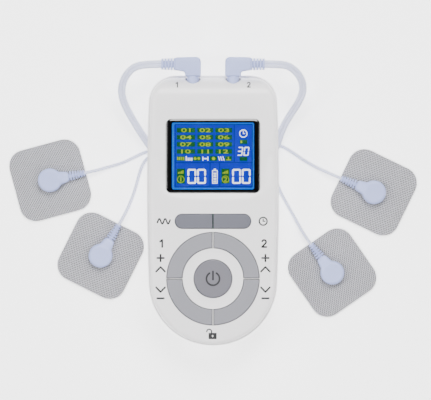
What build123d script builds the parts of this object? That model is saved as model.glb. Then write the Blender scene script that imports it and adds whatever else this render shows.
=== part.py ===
from build123d import *
import math
import os

# Two-channel TENS unit: a handheld case lying on its belt clip, with two lead sets plugged into its top
# end and four square gel electrodes. Millimetres, +Z up, +Y towards the jack end. The origin is on the
# table under the middle of the case. Channel 1 is on the -X side and channel 2 on the +X side.

# ------------------------------------------------------------------ driving dimensions
# Case outline and shells
case_length = 146.0
case_width = 71.4
case_depth = 25.0
widest_y = 10.0            # where the bulging sides are furthest apart
side_radius = 1280.0       # the slow bulge of each long side
corner_radius = 14.5       # the two corners at the jack end
wall = 2.0
floor = 2.4                # the back shell's bottom wall
seam_height = 12.0         # parting plane above the back face
rim = 1.3                  # how far the back shell's edge shows outside the front shell
tongue = 1.2               # the front shell's tongue inside the back shell's rim
tongue_wall = 0.8
fit = 0.1                  # clearance between pieces that are fastened together
face_round = 2.2
back_round = 4.0
end_round = 10.0           # the front shell's roll-over at the jack end

# Belt clip, which the unit lies on
clip_plate = 2.4
clip_width = 24.0
clip_top_y = 13.0
clip_tip_y = -46.0
belt_gap = 5.6
pin_radius = 1.25
pin_y = 5.0
ear_width = 3.0
ear_inner = 4.9
lug_gap = 0.2
lug_radius = 2.5
ear_radius = 2.6
wire = 0.6
run_fit = 0.05             # radial clearance of a turning or sliding fit

# Display
dish_depth = 1.2
dish_size = (64.0, 52.0)
dish_corner = 20.0
dish_slope = 77.0          # degrees from the vertical
lens_size = (50.5, 39.7)
lens_corner = 3.0
lens_thick = 1.2
display_y = 29.3
window_size = (44.8, 36.8)
frame_margin = 3.2         # the window frame's width outside the lens
lcd_size = (48.0, 40.0)
lcd_thick = 1.6
backlight_thick = 1.8

# Keys
key_gap = 0.25             # play between a key and its opening
key_proud = 0.5
key_travel = 0.8
key_flange = 0.9
flange_thick = 0.8
key_seat = 0.2             # play between a key's flange and the shell
key_edge = 0.4
post_length = 1.0
pill_size = (40.4, 7.45)
pill_y = -5.7
pill_split = 0.25          # half the gap between the two pill keys
ring_y = -36.5
ring_outer = 24.7
ring_inner = 16.6
quadrant_split = 0.5       # half the gap between two ring keys
power_radius = 10.1
spoke_half = 0.3
spoke_drop = 1.0

# Circuit board and what it carries
board_height = 16.4        # board's underside above the back face
board_thick = 1.6
board_inset = 4.4
board_end = 15.0           # the board's end inside the case's jack end
jack_x = 10.8
jack_drop = 4.7            # jack axis below the front wall's inside
jack_body = (8.0, 12.0, 6.0)
jack_setback = 3.3         # the sockets' face behind the end wall's inside
jack_hole = 4.2
pin_jack_radius = 1.25
pin_jack_length = 11.0

# Screw posts
posts = [(27.6, -20.0), (-27.6, -20.0), (25.5, 54.0), (-25.5, 54.0)]
post_radius = 4.0
boss_radius = 2.6
shoulder_radius = 3.4
boss_bottom = 12.4         # above the back face
head_radius = 2.3
head_height = 1.6
screw_radius = 1.1
screw_length = 13.0
counterbore = 6.0

# Battery bay
cell_radius = 5.25
cell_length = 44.5
cell_nub = 1.0
cell_pitch = 11.0
cell_height = 7.7          # cell axis above the back face
bay_half_width = 16.75
bay_top_y = -13.5
bay_length = 50.4
bay_wall = 1.2
bay_roof = 13.2            # the roof's underside above the back face
contact_thick = 0.4
door_half_width = 17.8
door_thick = 1.8
door_top_y = -12.2
door_rail = 0.9
rail_thick = 0.75
rail_low = 0.9             # rail's underside above the back face
door_play = 0.15

# Lead sets
plug_neck = 3.7
plug_play = 0.2            # the neck's end clear of the socket's face
plug_leg = 8.6
plug_arm = 7.6
plug_reach = 5.9           # the cord's axis beyond the case's end
plug_thick = 7.8
relief_start = 21.4
relief_end = 27.8
relief_rings = 4
trunk_radius = 1.6         # round tube with the twin cord's section area
lead_radius = 0.9
split_length = 8.0
split_width = 5.4
split_thick = 3.2
lead_spread = 1.2          # each lead's offset at the split
trunk_out = 7.7            # straight length of the trunk out of the plug
lead_out = 4.0             # straight length of a lead out of the split
lead_in = 6.5              # straight length of a lead into its connector

# Electrodes and snap connectors
pad_size = 40.0
pad_corner = 9.0
pad_reach = 111.8          # furthest point of the outer pads from the middle
gel_thick = 0.9
film_thick = 0.3
fabric_thick = 0.6
stud_shank = 1.5
stud_flange = 3.5
stud_flange_thick = 0.4
stud_knob = 1.95
stud_height = 2.1          # knob's top above its flange
snap_radius = 6.5
snap_height = 5.0
snap_gap = 0.3             # connector's underside above the fabric
snap_cavity = 3.9
snap_cavity_height = 3.2
socket_height = 2.5
arm_root_width = 6.9
arm_tip_width = 5.1
arm_end = 12.0
tail_end = 19.4
tail_ribs = 5
tail_tip_width = 3.2
tail_thick = 3.2

# Each electrode: name, channel, side of the case, distance up the table, turn of the pad, heading of its
# connector's arm, and the side of the Y-split that its lead leaves from
electrodes = [
    ("1a", 1, -1, 16.5, 15.2, 11.9, -1),
    ("1b", 1, -1, -24.8, -26.6, 59.4, 1),
    ("2a", 2, 1, 9.9, -25.9, 157.0, 1),
    ("2b", 2, 1, -34.1, 34.7, 126.9, -1),
]
inner_pad_x = {"1b": -61.6, "2b": 65.3}

# Cord routes between their straight ends. Each trunk runs from its plug, round in a loose loop, under the
# case over its own leads, turns there and ends in its Y-split. Each lead runs from there to its connector.
trunk_routes = {
    1: [(-43.0, 77.6, 24.2), (-48.3, 71.6, 21.0), (-50.0, 64.0, 17.0), (-47.6, 56.3, 12.8), (-43.2, 48.6, 8.8),
        (-37.6, 39.4, 5.4), (-29.6, 28.6, 4.6), (-22.0, 19.3, 2.2), (-14.8, 16.2, 1.6), (-7.9, 18.0, 1.6),
        (-3.7, 23.6, 1.6), (-3.6, 30.4, 1.6), (-7.4, 35.8, 1.6), (-13.9, 38.0, 1.6), (-20.1, 35.8, 1.6)],
    2: [(41.6, 77.9, 24.4), (47.2, 72.8, 21.4), (49.3, 65.8, 17.8), (46.6, 58.7, 13.8), (41.8, 51.8, 9.8),
        (37.6, 44.2, 6.6), (35.2, 36.2, 4.8), (31.4, 28.8, 4.6), (25.6, 22.8, 3.6), (18.2, 20.4, 1.9),
        (10.8, 22.0, 1.6), (4.7, 25.8, 1.6), (1.8, 32.3, 1.6), (3.1, 39.2, 1.6), (8.3, 43.9, 1.6),
        (14.8, 44.7, 1.6), (20.0, 41.8, 1.6)],
}
lead_routes = {
    "1a": [(-37.6, 31.9, 0.95), (-43.0, 29.3, 0.95), (-49.6, 26.0, 0.95), (-56.9, 24.0, 1.2)],
    "1b": [(-35.6, 29.3, 0.95), (-38.9, 24.9, 0.95), (-40.8, 18.9, 0.95), (-42.6, 11.9, 0.95),
           (-45.2, 4.6, 1.2)],
    "2a": [(37.6, 35.4, 0.95), (43.4, 32.0, 0.95), (49.4, 27.7, 0.95), (56.4, 23.7, 1.2)],
    "2b": [(32.5, 30.8, 0.95), (33.3, 25.0, 0.95), (33.9, 18.4, 0.95), (36.2, 11.6, 0.95),
           (40.4, 3.7, 0.95), (45.2, -4.7, 1.2)],
}

# ------------------------------------------------------------------ sizes that follow
half_length = case_length / 2
half_width = case_width / 2
back_z = clip_plate + belt_gap
seam_z = back_z + seam_height
face_z = back_z + case_depth
inner_z = face_z - wall
pin_z = back_z - ear_radius - lug_gap
board_z = back_z + board_height
board_top_z = board_z + board_thick
lens_top_z = face_z - dish_depth
lens_z = lens_top_z - lens_thick
lcd_z = board_top_z + backlight_thick
frame_z = lcd_z + lcd_thick
jack_z = inner_z - jack_drop
jack_face_y = half_length - rim - wall - jack_setback
plug_neck_end = jack_face_y + plug_play
plug_y = half_length + plug_reach
board_top_y = half_length - board_end
key_bottom_z = inner_z - key_seat - flange_thick - post_length
switch_height = key_bottom_z - board_top_z - key_travel - fit
ring_wall = ring_inner - key_gap      # outer edge of the ring inside the ring keys
fabric_top = gel_thick + film_thick + fabric_thick
snap_z = fabric_top + snap_gap
tail_z = snap_z + tail_thick / 2
bay_bottom_y = bay_top_y - bay_length


# ------------------------------------------------------------------ helpers
def block(x0, x1, y0, y1, z0, z1):
    """A box from one corner to the opposite one."""
    centre = Pos((x0 + x1) / 2, (y0 + y1) / 2, (z0 + z1) / 2)
    return centre * Box(x1 - x0, y1 - y0, z1 - z0)


def post(x, y, z0, z1, radius):
    """An upright cylinder between two heights."""
    return Pos(x, y, z0) * extrude(Circle(radius), z1 - z0)


def rod(start, end, radius):
    """A straight round rod between two points."""
    start, end = Vector(*start), Vector(*end)
    return extrude(Plane(origin=start, z_dir=end - start) * Circle(radius), (end - start).length)


def slab(face, z0, z1):
    """A plan face made solid between two heights."""
    return Pos(0, 0, z0) * extrude(face, z1 - z0)


def outline(inset):
    """Plan of the case drawn in by inset: two slow side arcs, a round bottom end, two corner arcs and a
    straight jack end, each tangent to the next."""
    side = Vector(half_width - side_radius, widest_y)
    reach = widest_y + half_length
    bottom_radius = (side_radius**2 - side.X**2 - reach**2) / (2 * (side_radius - reach))
    bottom = Vector(0, bottom_radius - half_length)
    corner_y = half_length - corner_radius
    corner_x = math.sqrt((side_radius - corner_radius) ** 2 - (corner_y - widest_y) ** 2) + side.X
    corner = Vector(corner_x, corner_y)
    low = side + (bottom - side).normalized() * (side_radius - inset)
    high = side + (corner - side).normalized() * (side_radius - inset)
    middle = Vector(half_width - inset, widest_y)
    round_mid = corner + Vector(1, 1).normalized() * (corner_radius - inset)
    top = corner + Vector(0, corner_radius - inset)
    end = Vector(0, inset - half_length)

    def flip(p):
        return Vector(-p.X, p.Y)

    edges = [
        Edge.make_three_point_arc(flip(low), end, low),
        Edge.make_three_point_arc(low, middle, high),
        Edge.make_three_point_arc(high, round_mid, top),
        Edge.make_line(top, flip(top)),
        Edge.make_three_point_arc(flip(top), flip(round_mid), flip(high)),
        Edge.make_three_point_arc(flip(high), flip(middle), flip(low)),
    ]
    return Face(Wire(edges))


def roll_over(depth):
    """What the rounded jack end takes off a solid whose skin lies depth inside the front shell's."""
    y = half_length - rim - end_round
    z = face_z - end_round
    corner = block(-case_width, case_width, y, y + 2 * end_round, z, z + 2 * end_round)
    return corner - rod((-case_width, y, z), (case_width, y, z), end_round - depth)


def back_envelope():
    """The back shell's outer form, rounded along its back edge."""
    body = slab(outline(0), back_z, seam_z)
    return fillet(body.faces().sort_by(Axis.Z)[0].edges(), back_round)


def stadium(length, width):
    return SlotOverall(length, width)


# ------------------------------------------------------------------ case shells
def key_openings():
    """Plan of the openings for the pill keys, the ring keys and the power button."""
    pill = Pos(0, pill_y) * stadium(pill_size[0] + 2 * key_gap, pill_size[1] + 2 * key_gap)
    ring = Pos(0, ring_y) * (Circle(ring_outer + key_gap) - Circle(ring_wall))
    return pill + ring + Pos(0, ring_y) * Circle(power_radius + key_gap)


def make_front_shell():
    shell = slab(outline(rim), seam_z, face_z)
    shell = fillet(shell.faces().sort_by(Axis.Z)[-1].edges(), face_round)
    shell -= roll_over(0)
    cavity = slab(outline(rim + wall), seam_z - 1, inner_z) - roll_over(wall)
    shell -= cavity

    # Tongue that locates it inside the back shell's rim
    outside = rim + wall - tongue_wall
    lip = slab(outline(outside) - outline(rim + wall), seam_z - tongue, seam_z + fit)
    shell += lip

    # Shallow dish round the display, the lens pocket and the frame behind it
    dish = extrude(Pos(0, display_y) * RectangleRounded(*dish_size, dish_corner), -dish_depth, taper=dish_slope)
    frame = RectangleRounded(lens_size[0] + 2 * frame_margin, lens_size[1] + 2 * frame_margin, lens_corner)
    shell += slab(Pos(0, display_y) * frame, frame_z, inner_z + fit) & slab(outline(rim + fit), frame_z, face_z)
    shell -= Pos(0, 0, face_z) * dish
    pocket = RectangleRounded(lens_size[0] + 2 * fit, lens_size[1] + 2 * fit, lens_corner + fit)
    shell -= slab(Pos(0, display_y) * pocket, lens_z, face_z)
    window = RectangleRounded(*window_size, lens_corner / 2)
    shell -= slab(Pos(0, display_y) * window, frame_z - 1, face_z)

    # Key openings, with four low spokes that carry the ring between the ring keys and the power button
    shell -= slab(key_openings(), inner_z - 1, face_z + 1)
    spoke_top = face_z - spoke_drop
    inner, outer = ring_wall - fit, ring_outer + key_gap + fit
    for x, y in ((1, 0), (-1, 0), (0, 1), (0, -1)):
        along = [sorted((x * inner, x * outer)), sorted((y * inner, y * outer))]
        xs = along[0] if x else (-spoke_half, spoke_half)
        ys = along[1] if y else (-spoke_half, spoke_half)
        shell += block(xs[0], xs[1], ring_y + ys[0], ring_y + ys[1], inner_z, spoke_top)

    # Screw bosses with a shoulder on the board, and the two plug holes in the end wall
    for x, y in posts:
        shell += post(x, y, board_top_z, inner_z + fit, shoulder_radius)
        shell += post(x, y, back_z + boss_bottom, board_top_z, boss_radius)
        shell -= post(x, y, back_z + boss_bottom, inner_z - wall, screw_radius + run_fit)
    for side in (-1, 1):
        x = side * jack_x
        shell -= rod((x, jack_face_y, jack_z), (x, half_length + 1, jack_z), jack_hole)
    return shell


def make_back_shell():
    envelope = back_envelope()
    hollow_inset = rim + wall - tongue_wall - fit
    shell = envelope - slab(outline(hollow_inset), back_z + floor, seam_z + 1)

    # Battery bay, open at the back, and the recess and grooves that its door slides in
    side, low, high = bay_half_width + bay_wall, bay_bottom_y - bay_wall, bay_top_y + bay_wall
    roof_top = back_z + bay_roof + bay_wall
    inside = slab(outline(rim + wall + fit), back_z, face_z)
    shell += block(-side, side, low, high, back_z + floor - fit, roof_top) & inside
    shell -= block(-bay_half_width, bay_half_width, bay_bottom_y, bay_top_y, back_z - 1, back_z + bay_roof)
    recess, groove = door_half_width + door_play, door_half_width + door_rail + door_play
    end, start = -half_length - 1, door_top_y + door_play
    shell -= block(-recess, recess, end, start, back_z - 1, back_z + door_thick + door_play)
    groove_low, groove_high = back_z + rail_low - door_play, back_z + rail_low + rail_thick + door_play
    shell -= block(-groove, groove, end, start, groove_low, groove_high)

    # Screw posts, counterbored from the back
    for x, y in posts:
        shell += post(x, y, back_z + floor - fit, board_z, post_radius)
        shell -= post(x, y, back_z + boss_bottom - fit, board_z + 1, boss_radius + fit)
        shell -= post(x, y, back_z + counterbore, back_z + boss_bottom, screw_radius + 2 * fit)
        shell -= post(x, y, back_z - 1, back_z + counterbore, head_radius + fit)

    # Two lugs that hold the belt clip's pin
    for side in (-1, 1):
        x0, x1 = sorted((side * (ear_inner + ear_width + lug_gap), side * (ear_inner + 2 * ear_width + lug_gap)))
        lug = block(x0, x1, pin_y - lug_radius, pin_y + lug_radius, pin_z, back_z + fit)
        lug += rod((x0, pin_y, pin_z), (x1, pin_y, pin_z), lug_radius)
        shell += lug - rod((x0 - 1, pin_y, pin_z), (x1 + 1, pin_y, pin_z), pin_radius)
    return shell


def make_battery_door():
    end, top = -half_length - 1, back_z + door_thick
    door = block(-door_half_width, door_half_width, end, door_top_y, back_z, top)
    tongue_x = door_half_width + door_rail
    door += block(-tongue_x, tongue_x, end, door_top_y, back_z + rail_low, back_z + rail_low + rail_thick)
    door &= back_envelope()
    for i in range(4):
        y = bay_bottom_y + 2.0 + 2.2 * i
        door -= block(-7, 7, y, y + 1.0, back_z - 1, back_z + 0.5)
    return door


def make_case_screws():
    screws = []
    for x, y in posts:
        seat = back_z + counterbore
        head = post(x, y, seat - head_height, seat, head_radius)
        for turn in (0, 90):
            head -= Pos(x, y, seat - head_height) * Rot(0, 0, turn) * Box(2.8, 0.6, 1.4)
        screws.append(head + post(x, y, seat, seat + screw_length, screw_radius))
    return screws


# ------------------------------------------------------------------ display
def make_display_lens():
    lens = RectangleRounded(*lens_size, lens_corner)
    return slab(Pos(0, display_y) * lens, lens_z, lens_top_z)


def make_lcd_panel():
    """Glass sandwich: the lower glass is longer, with a ledge for its contacts at the lower edge."""
    x, y = lcd_size[0] / 2, lcd_size[1] / 2
    panel = block(-x, x, display_y - y, display_y + y, lcd_z, lcd_z + lcd_thick)
    return panel - block(-x, x, display_y - y, display_y - y + 1.2, lcd_z + lcd_thick / 2, lcd_z + lcd_thick)


def make_lcd_backlight():
    x, y = lcd_size[0] / 2, lcd_size[1] / 2
    plate = block(-x, x, display_y - y, display_y + y, board_top_z, lcd_z)
    return plate + block(-x - 2.4, -x, display_y - 8, display_y + 8, board_top_z, lcd_z)


# ------------------------------------------------------------------ board
def switch_places():
    """Where each key presses: the two pill keys, the four ring keys and the power button."""
    middle = (ring_inner + ring_outer) / 2 * math.sqrt(0.5)
    ring = [(sx * middle, ring_y + sy * middle) for sx in (-1, 1) for sy in (1, -1)]
    return [(-pill_size[0] / 4, pill_y), (pill_size[0] / 4, pill_y), *ring, (0, ring_y)]


def make_main_board():
    plan = outline(board_inset) & Pos(0, board_top_y - case_length / 2) * Rectangle(case_width, case_length)
    board = slab(plan, board_z, board_top_z)
    low = jack_face_y - jack_body[1] - fit
    for side in (-1, 1):
        x = side * jack_x
        notch = jack_body[0] / 2 + fit
        board -= block(x - notch, x + notch, low, half_length, board_z - 1, board_top_z + 1)
    for x, y in posts:
        board -= post(x, y, board_z - 1, board_top_z + 1, boss_radius + fit)
    return board


def make_board_chips():
    """Parts soldered under the board: controller, two output stages, two capacitors, a coil and a crystal."""
    parts = [
        block(-15, -5, 14, 24, board_z - 1.4, board_z),
        block(4, 9, 10, 14, board_z - 1.5, board_z),
        block(4, 9, 18, 22, board_z - 1.5, board_z),
        block(-17, -14, 2, 9, board_z - 2.4, board_z),
        block(14, 21, 2, 9, board_z - 3.6, board_z),
    ]
    for x, y in ((-23, 20), (-23, 30)):
        parts.append(post(x, y, board_z - 8.0, board_z, 3.15))
    return parts


def make_pulse_transformers():
    """One small step-up transformer per channel: a square core round a wound bobbin."""
    made = []
    for side in (-1, 1):
        x, y = side * 12.0, 41.0
        core = block(x - 6, x + 6, y - 5, y + 5, board_z - 8.5, board_z)
        core -= block(x - 4.2, x + 4.2, y - 6, y + 6, board_z - 6.7, board_z - 1.6)
        winding = rod((x, y - 5.6, board_z - 4.15), (x, y + 5.6, board_z - 4.15), 2.6)
        made.append(core + winding + block(x - 1.2, x + 1.2, y - 5, y + 5, board_z - 7, board_z - 1.4))
    return made


def make_jack_sockets():
    sockets = []
    width, length, height = jack_body
    for side in (-1, 1):
        x, back = side * jack_x, jack_face_y - length
        body = block(x - width / 2, x + width / 2, back, jack_face_y, jack_z - height / 2, jack_z + height / 2)
        bore_end = plug_neck_end - pin_jack_length - 2 * fit
        body -= rod((x, bore_end, jack_z), (x, jack_face_y + 1, jack_z), pin_jack_radius + run_fit)
        for tail in (-1, 1):
            x0, x1 = sorted((x + tail * (width / 2 - 1.5), x + tail * (width / 2 + 1.6)))
            body += block(x0, x1, back + 2, back + 4, board_top_z, board_top_z + 0.4)
        sockets.append(body)
    return sockets


def make_key_switches():
    """One small push switch under each key."""
    switches = []
    for x, y in switch_places():
        base = block(x - 3, x + 3, y - 3, y + 3, board_top_z, board_top_z + switch_height - 0.6)
        switches.append(base + post(x, y, board_top_z, board_top_z + switch_height, 1.6))
    return switches


# ------------------------------------------------------------------ keys
def make_key(face, flange, place, radius=2.0):
    """A key: its cap through the shell, a wider flange behind it and a post over its switch."""
    flange_z = inner_z - key_seat - flange_thick
    cap = slab(face, flange_z, face_z + key_proud)
    cap = fillet(cap.faces().sort_by(Axis.Z)[-1].edges(), key_edge)
    return cap + slab(flange, flange_z, flange_z + flange_thick) + post(*place, key_bottom_z, flange_z, radius)


def pill_key(side, place):
    """Half of the pill, on one side of its middle."""
    length, width = pill_size
    half = Pos(side * (length / 2 + pill_split), pill_y) * Rectangle(length, 2 * width)
    cap = Pos(0, pill_y) * stadium(length, width) & half
    wide = Pos(0, pill_y) * stadium(length + 2 * key_flange + key_gap, width + 2 * key_flange) & half
    return make_key(cap, wide, place)


def ring_key(sx, sy, place):
    """A quarter of the ring, clear of the spokes on both sides."""
    size = 2 * ring_outer
    corner = quadrant_split + size / 2
    quarter = Pos(sx * corner, ring_y + sy * corner) * Rectangle(size, size)
    centre = Pos(0, ring_y)
    cap = centre * (Circle(ring_outer) - Circle(ring_inner)) & quarter
    wide = centre * (Circle(ring_outer + key_flange) - Circle(ring_inner - key_flange)) & quarter
    return make_key(cap, wide, place)


def make_keys():
    places = switch_places()
    centre = Pos(0, ring_y)
    return {
        "mode_key": pill_key(-1, places[0]),
        "timer_key": pill_key(1, places[1]),
        "channel_1_up_key": ring_key(-1, 1, places[2]),
        "channel_1_down_key": ring_key(-1, -1, places[3]),
        "channel_2_up_key": ring_key(1, 1, places[4]),
        "channel_2_down_key": ring_key(1, -1, places[5]),
        "power_button": make_key(
            centre * Circle(power_radius), centre * Circle(power_radius + key_flange), places[6]
        ),
    }


# ------------------------------------------------------------------ batteries
def cell_places():
    """Each cell's x and the way its positive end points along Y."""
    return [(-cell_pitch, 1), (0, -1), (cell_pitch, 1)]


def make_aaa_cells():
    """Three AAA cells side by side, each against the contact at its positive end."""
    z = back_z + cell_height
    cells = []
    for x, way in cell_places():
        tip = (bay_top_y if way > 0 else bay_bottom_y) - way * contact_thick
        shoulder = tip - way * cell_nub
        cell = rod((x, shoulder, z), (x, tip - way * cell_length, z), cell_radius)
        cells.append(cell + rod((x, tip, z), (x, shoulder, z), 1.9))
    return cells


def make_battery_contacts():
    """A flat plate at each positive end and a plate with a bent leaf spring at each negative end."""
    z = back_z + cell_height
    made = []
    for x, way in cell_places():
        near, far = (bay_top_y, bay_bottom_y) if way > 0 else (bay_bottom_y, bay_top_y)
        low, high = sorted((near, near - way * contact_thick))
        made.append(block(x - 4, x + 4, low, high, z - 4, z + 4))
        low, high = sorted((far, far + way * contact_thick))
        plate = block(x - 4, x + 4, low, high, z - 4, z + 4)
        depth = bay_length - cell_length - 2 * contact_thick
        leaf = Polyline((0, -4), (depth, 0), (0, 4), (0, 3.5), (depth - 0.5, 0), (0, -3.5), close=True)
        strip = extrude(make_face(leaf), 3.0, both=True)
        root = Plane(origin=(x, far + way * contact_thick, z), x_dir=(0, way, 0), z_dir=(1, 0, 0))
        made.append(plate + root * strip)
    return made


# ------------------------------------------------------------------ belt clip
def make_belt_clip():
    """A plate with a tongue, a ridge at its tip that closes the belt gap, and two ears on the pin."""
    top = back_z - fit
    side = Polyline(
        (clip_top_y, 0), (clip_top_y, clip_plate), (clip_tip_y + 9, clip_plate), (clip_tip_y + 5.4, top),
        (clip_tip_y + 3.0, top), (clip_tip_y, clip_plate), (clip_tip_y, 0), close=True,
    )
    across = Plane(origin=(0, 0, 0), x_dir=(0, 1, 0), z_dir=(1, 0, 0))
    clip = extrude(across * make_face(side), clip_width / 2, both=True)
    clip = fillet(clip.edges().filter_by(Axis.Z), 4.0)
    clip = fillet(clip.faces().sort_by(Axis.Z)[0].edges(), 0.7)
    for x in (-1, 1):
        x0, x1 = sorted((x * ear_inner, x * (ear_inner + ear_width)))
        ear = block(x0, x1, pin_y - ear_radius, pin_y + ear_radius, clip_plate - fit, pin_z)
        ear += rod((x0, pin_y, pin_z), (x1, pin_y, pin_z), ear_radius)
        clip += ear
    reach = ear_inner + ear_width + 1
    clip -= rod((-reach, pin_y, pin_z), (reach, pin_y, pin_z), pin_radius + run_fit)
    for i in range(4):
        y = clip_top_y - 2.5 - 1.8 * i
        clip -= block(-8, 8, y - 0.4, y + 0.4, -1, 0.4)
    return clip


def make_clip_pin():
    reach = ear_inner + 2 * ear_width + lug_gap
    return rod((-reach, pin_y, pin_z), (reach, pin_y, pin_z), pin_radius)


def make_clip_spring():
    """Close-wound torsion spring on the pin, one leg on the clip's plate and one on the case."""
    inner = pin_radius + run_fit
    middle = inner + wire / 2
    turns = int((ear_inner - lug_gap) * 2 / wire)
    length = turns * wire
    profile = Pos(0, middle) * Rectangle(length - wire / 2, wire / 2)
    for i in range(turns):
        profile += Pos((i + 0.5) * wire - length / 2, middle) * Circle(wire / 2 + 0.02)
    coil = Pos(0, pin_y, pin_z) * revolve(profile, Axis.X)
    x = length / 2 - wire / 2
    leg_y = pin_y - 8.0
    coil += rod((x, pin_y, pin_z - middle), (x, leg_y, clip_plate + wire / 2), wire / 2)
    coil += rod((-x, pin_y, pin_z + middle), (-x, leg_y, back_z - wire / 2), wire / 2)
    return coil


# ------------------------------------------------------------------ lead sets
def make_plug(side):
    """Right-angle plug: a round neck in the case, a body that turns outwards and a ribbed strain relief."""
    x = side * jack_x
    corner_y = plug_y + plug_arm / 2
    leg_low = half_length - rim + 2.4
    x0, x1 = sorted((x - side * plug_leg / 2, x + side * plug_leg / 2))
    leg = block(x0, x1, leg_low, corner_y, jack_z - plug_thick / 2, jack_z + plug_thick / 2)
    x0, x1 = sorted((x, side * relief_start))
    arm = block(x0, x1, plug_y - plug_arm / 2, corner_y, jack_z - plug_thick / 2, jack_z + plug_thick / 2)
    body = leg + arm
    body = fillet(body.edges().filter_by(Axis.Z).group_by(Axis.Y)[-1], 2.4)
    body = fillet(body.faces().sort_by(Axis.Z)[-1].edges() + body.faces().sort_by(Axis.Z)[0].edges(), 1.4)
    body += rod((x, plug_neck_end, jack_z), (x, plug_y, jack_z), plug_neck)
    # Rings of the strain relief, each smaller than the one before, on a slim core
    pitch = (relief_end - relief_start) / relief_rings
    body += rod((side * relief_start, plug_y, jack_z), (side * relief_end, plug_y, jack_z), 2.4)
    for i in range(relief_rings):
        start = relief_start + pitch * i + 0.7
        size = 3.1 - 0.15 * i
        body += rod((side * start, plug_y, jack_z), (side * (start + pitch - 0.7), plug_y, jack_z), size)
    return body - make_plug_pin(side)


def make_plug_pin(side):
    """Jack pin with its tip and two ring grooves, held 3 mm deep in the plug."""
    x = side * jack_x
    tip = plug_neck_end - pin_jack_length
    pin = rod((x, tip, jack_z), (x, plug_neck_end + 3.0, jack_z), pin_jack_radius)
    pin = chamfer(pin.faces().sort_by(Axis.Y)[0].edges(), 0.6)
    for offset in (2.6, 5.6):
        groove = rod((x, tip + offset, jack_z), (x, tip + offset + 0.5, jack_z), 2.0)
        pin -= groove - rod((x, tip + offset - 1, jack_z), (x, tip + offset + 1.5, jack_z), pin_jack_radius - 0.15)
    return pin


def bend_radii(route):
    """For each corner of a route, the largest arc that its two runs allow."""
    points = [Vector(*p) for p in route]
    radii = []
    for a, b, c in zip(points, points[1:], points[2:]):
        turn = math.radians((b - a).get_angle(c - b))
        radii.append(0.45 * min((b - a).length, (c - b).length) / math.tan(turn / 2))
    return radii


def make_cord(name, route, radius):
    """A plain tube along straight runs joined by tangent arcs."""
    radii = bend_radii(route)
    path = FilletPolyline(*route, radius=radii)
    section = Plane(origin=path @ 0, z_dir=path % 0) * Circle(radius)
    tube = sweep(section, path=path)
    share = tube.volume / (math.pi * radius**2 * path.length)
    print(name, "length", round(path.length, 1), "radii", [round(r, 1) for r in radii], "volume share", round(share, 4))
    return tube


def full_trunk_route(channel, side):
    """A trunk's route from the plug's strain relief to the Y-split."""
    start = (side * relief_end, plug_y, jack_z)
    return [start, (side * (relief_end + trunk_out), plug_y, jack_z), *trunk_routes[channel]]


def split_frame(channel):
    """The Y-split's plane: its origin at the trunk's end, x along its length."""
    before, end = (Vector(*p) for p in trunk_routes[channel][-2:])
    return Plane(origin=end, x_dir=end - before, z_dir=(0, 0, 1))


def make_y_split(channel):
    """Moulded Y-split, wider where the two leads leave it."""
    half, wide = split_width / 2 - 0.5, split_width / 2
    plan = make_face(
        Polyline((0, -half), (split_length, -wide), (split_length, wide), (0, half), close=True)
    )
    body = extrude(plan, split_thick / 2, both=True)
    body = fillet(body.edges().filter_by(Axis.Z) + body.faces().sort_by(Axis.Z)[-1].edges(), 0.6)
    return split_frame(channel) * body


def electrode_place(name, side, y, turn):
    """Middle of a pad. The outer pads reach equally far to both sides of the case."""
    if name in inner_pad_x:
        return Vector(inner_pad_x[name], y, 0)
    straight = pad_size / 2 - pad_corner
    lean = math.radians(abs(turn))
    half_extent = straight * (math.cos(lean) + math.sin(lean)) + pad_corner
    return Vector(side * (pad_reach - half_extent), y, 0)


def full_lead_route(name, channel, place, heading, split_side):
    """A lead's route, straight out of the Y-split and straight into the connector's tail."""
    frame, across = split_frame(channel), split_side * lead_spread
    start = frame.from_local_coords(Vector(split_length, across, 0))
    out = frame.from_local_coords(Vector(split_length + lead_out, across, 0))
    way = math.radians(heading)
    along = Vector(math.cos(way), math.sin(way), 0)
    tail = place + along * tail_end + Vector(0, 0, tail_z)
    return [tuple(p) for p in (start, out, *lead_routes[name], tail + along * lead_in, tail)]


# ------------------------------------------------------------------ electrodes and connectors
def make_snap_connector():
    """Round snap housing with a flat arm and a ribbed tail, in its own frame: stud axis at the origin and
    the arm along +X."""
    housing = fillet(post(0, 0, snap_z, snap_z + snap_height, snap_radius).faces().sort_by(Axis.Z)[-1].edges(), 1.6)
    root, tip = arm_root_width / 2, arm_tip_width / 2
    plan = make_face(Polyline((0, -root), (arm_end, -tip), (arm_end, tip), (0, root), close=True))
    arm = slab(plan, snap_z, snap_z + tail_thick)
    arm = fillet(arm.faces().sort_by(Axis.Z)[-1].edges(), 0.9)
    body = housing + arm
    pitch = (tail_end - arm_end) / tail_ribs
    body += rod((arm_end - 1, 0, tail_z), (tail_end, 0, tail_z), lead_radius + 0.3)
    for i in range(tail_ribs):
        start = arm_end + pitch * i + 0.55
        share = i / (tail_ribs - 1)
        width = arm_tip_width + (tail_tip_width - arm_tip_width) * share
        rib = block(start, start + pitch - 0.55, -width / 2, width / 2, snap_z, snap_z + tail_thick)
        body += fillet(rib.edges().filter_by(Axis.X), 1.2)
    return body - post(0, 0, snap_z - 1, snap_z + snap_cavity_height, snap_cavity)


def make_snap_socket():
    """Metal ring in the housing that grips the stud."""
    low = snap_z + 0.3
    return post(0, 0, low, low + socket_height, snap_cavity) - post(0, 0, low - 1, low + 9, stud_knob + run_fit)


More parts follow.
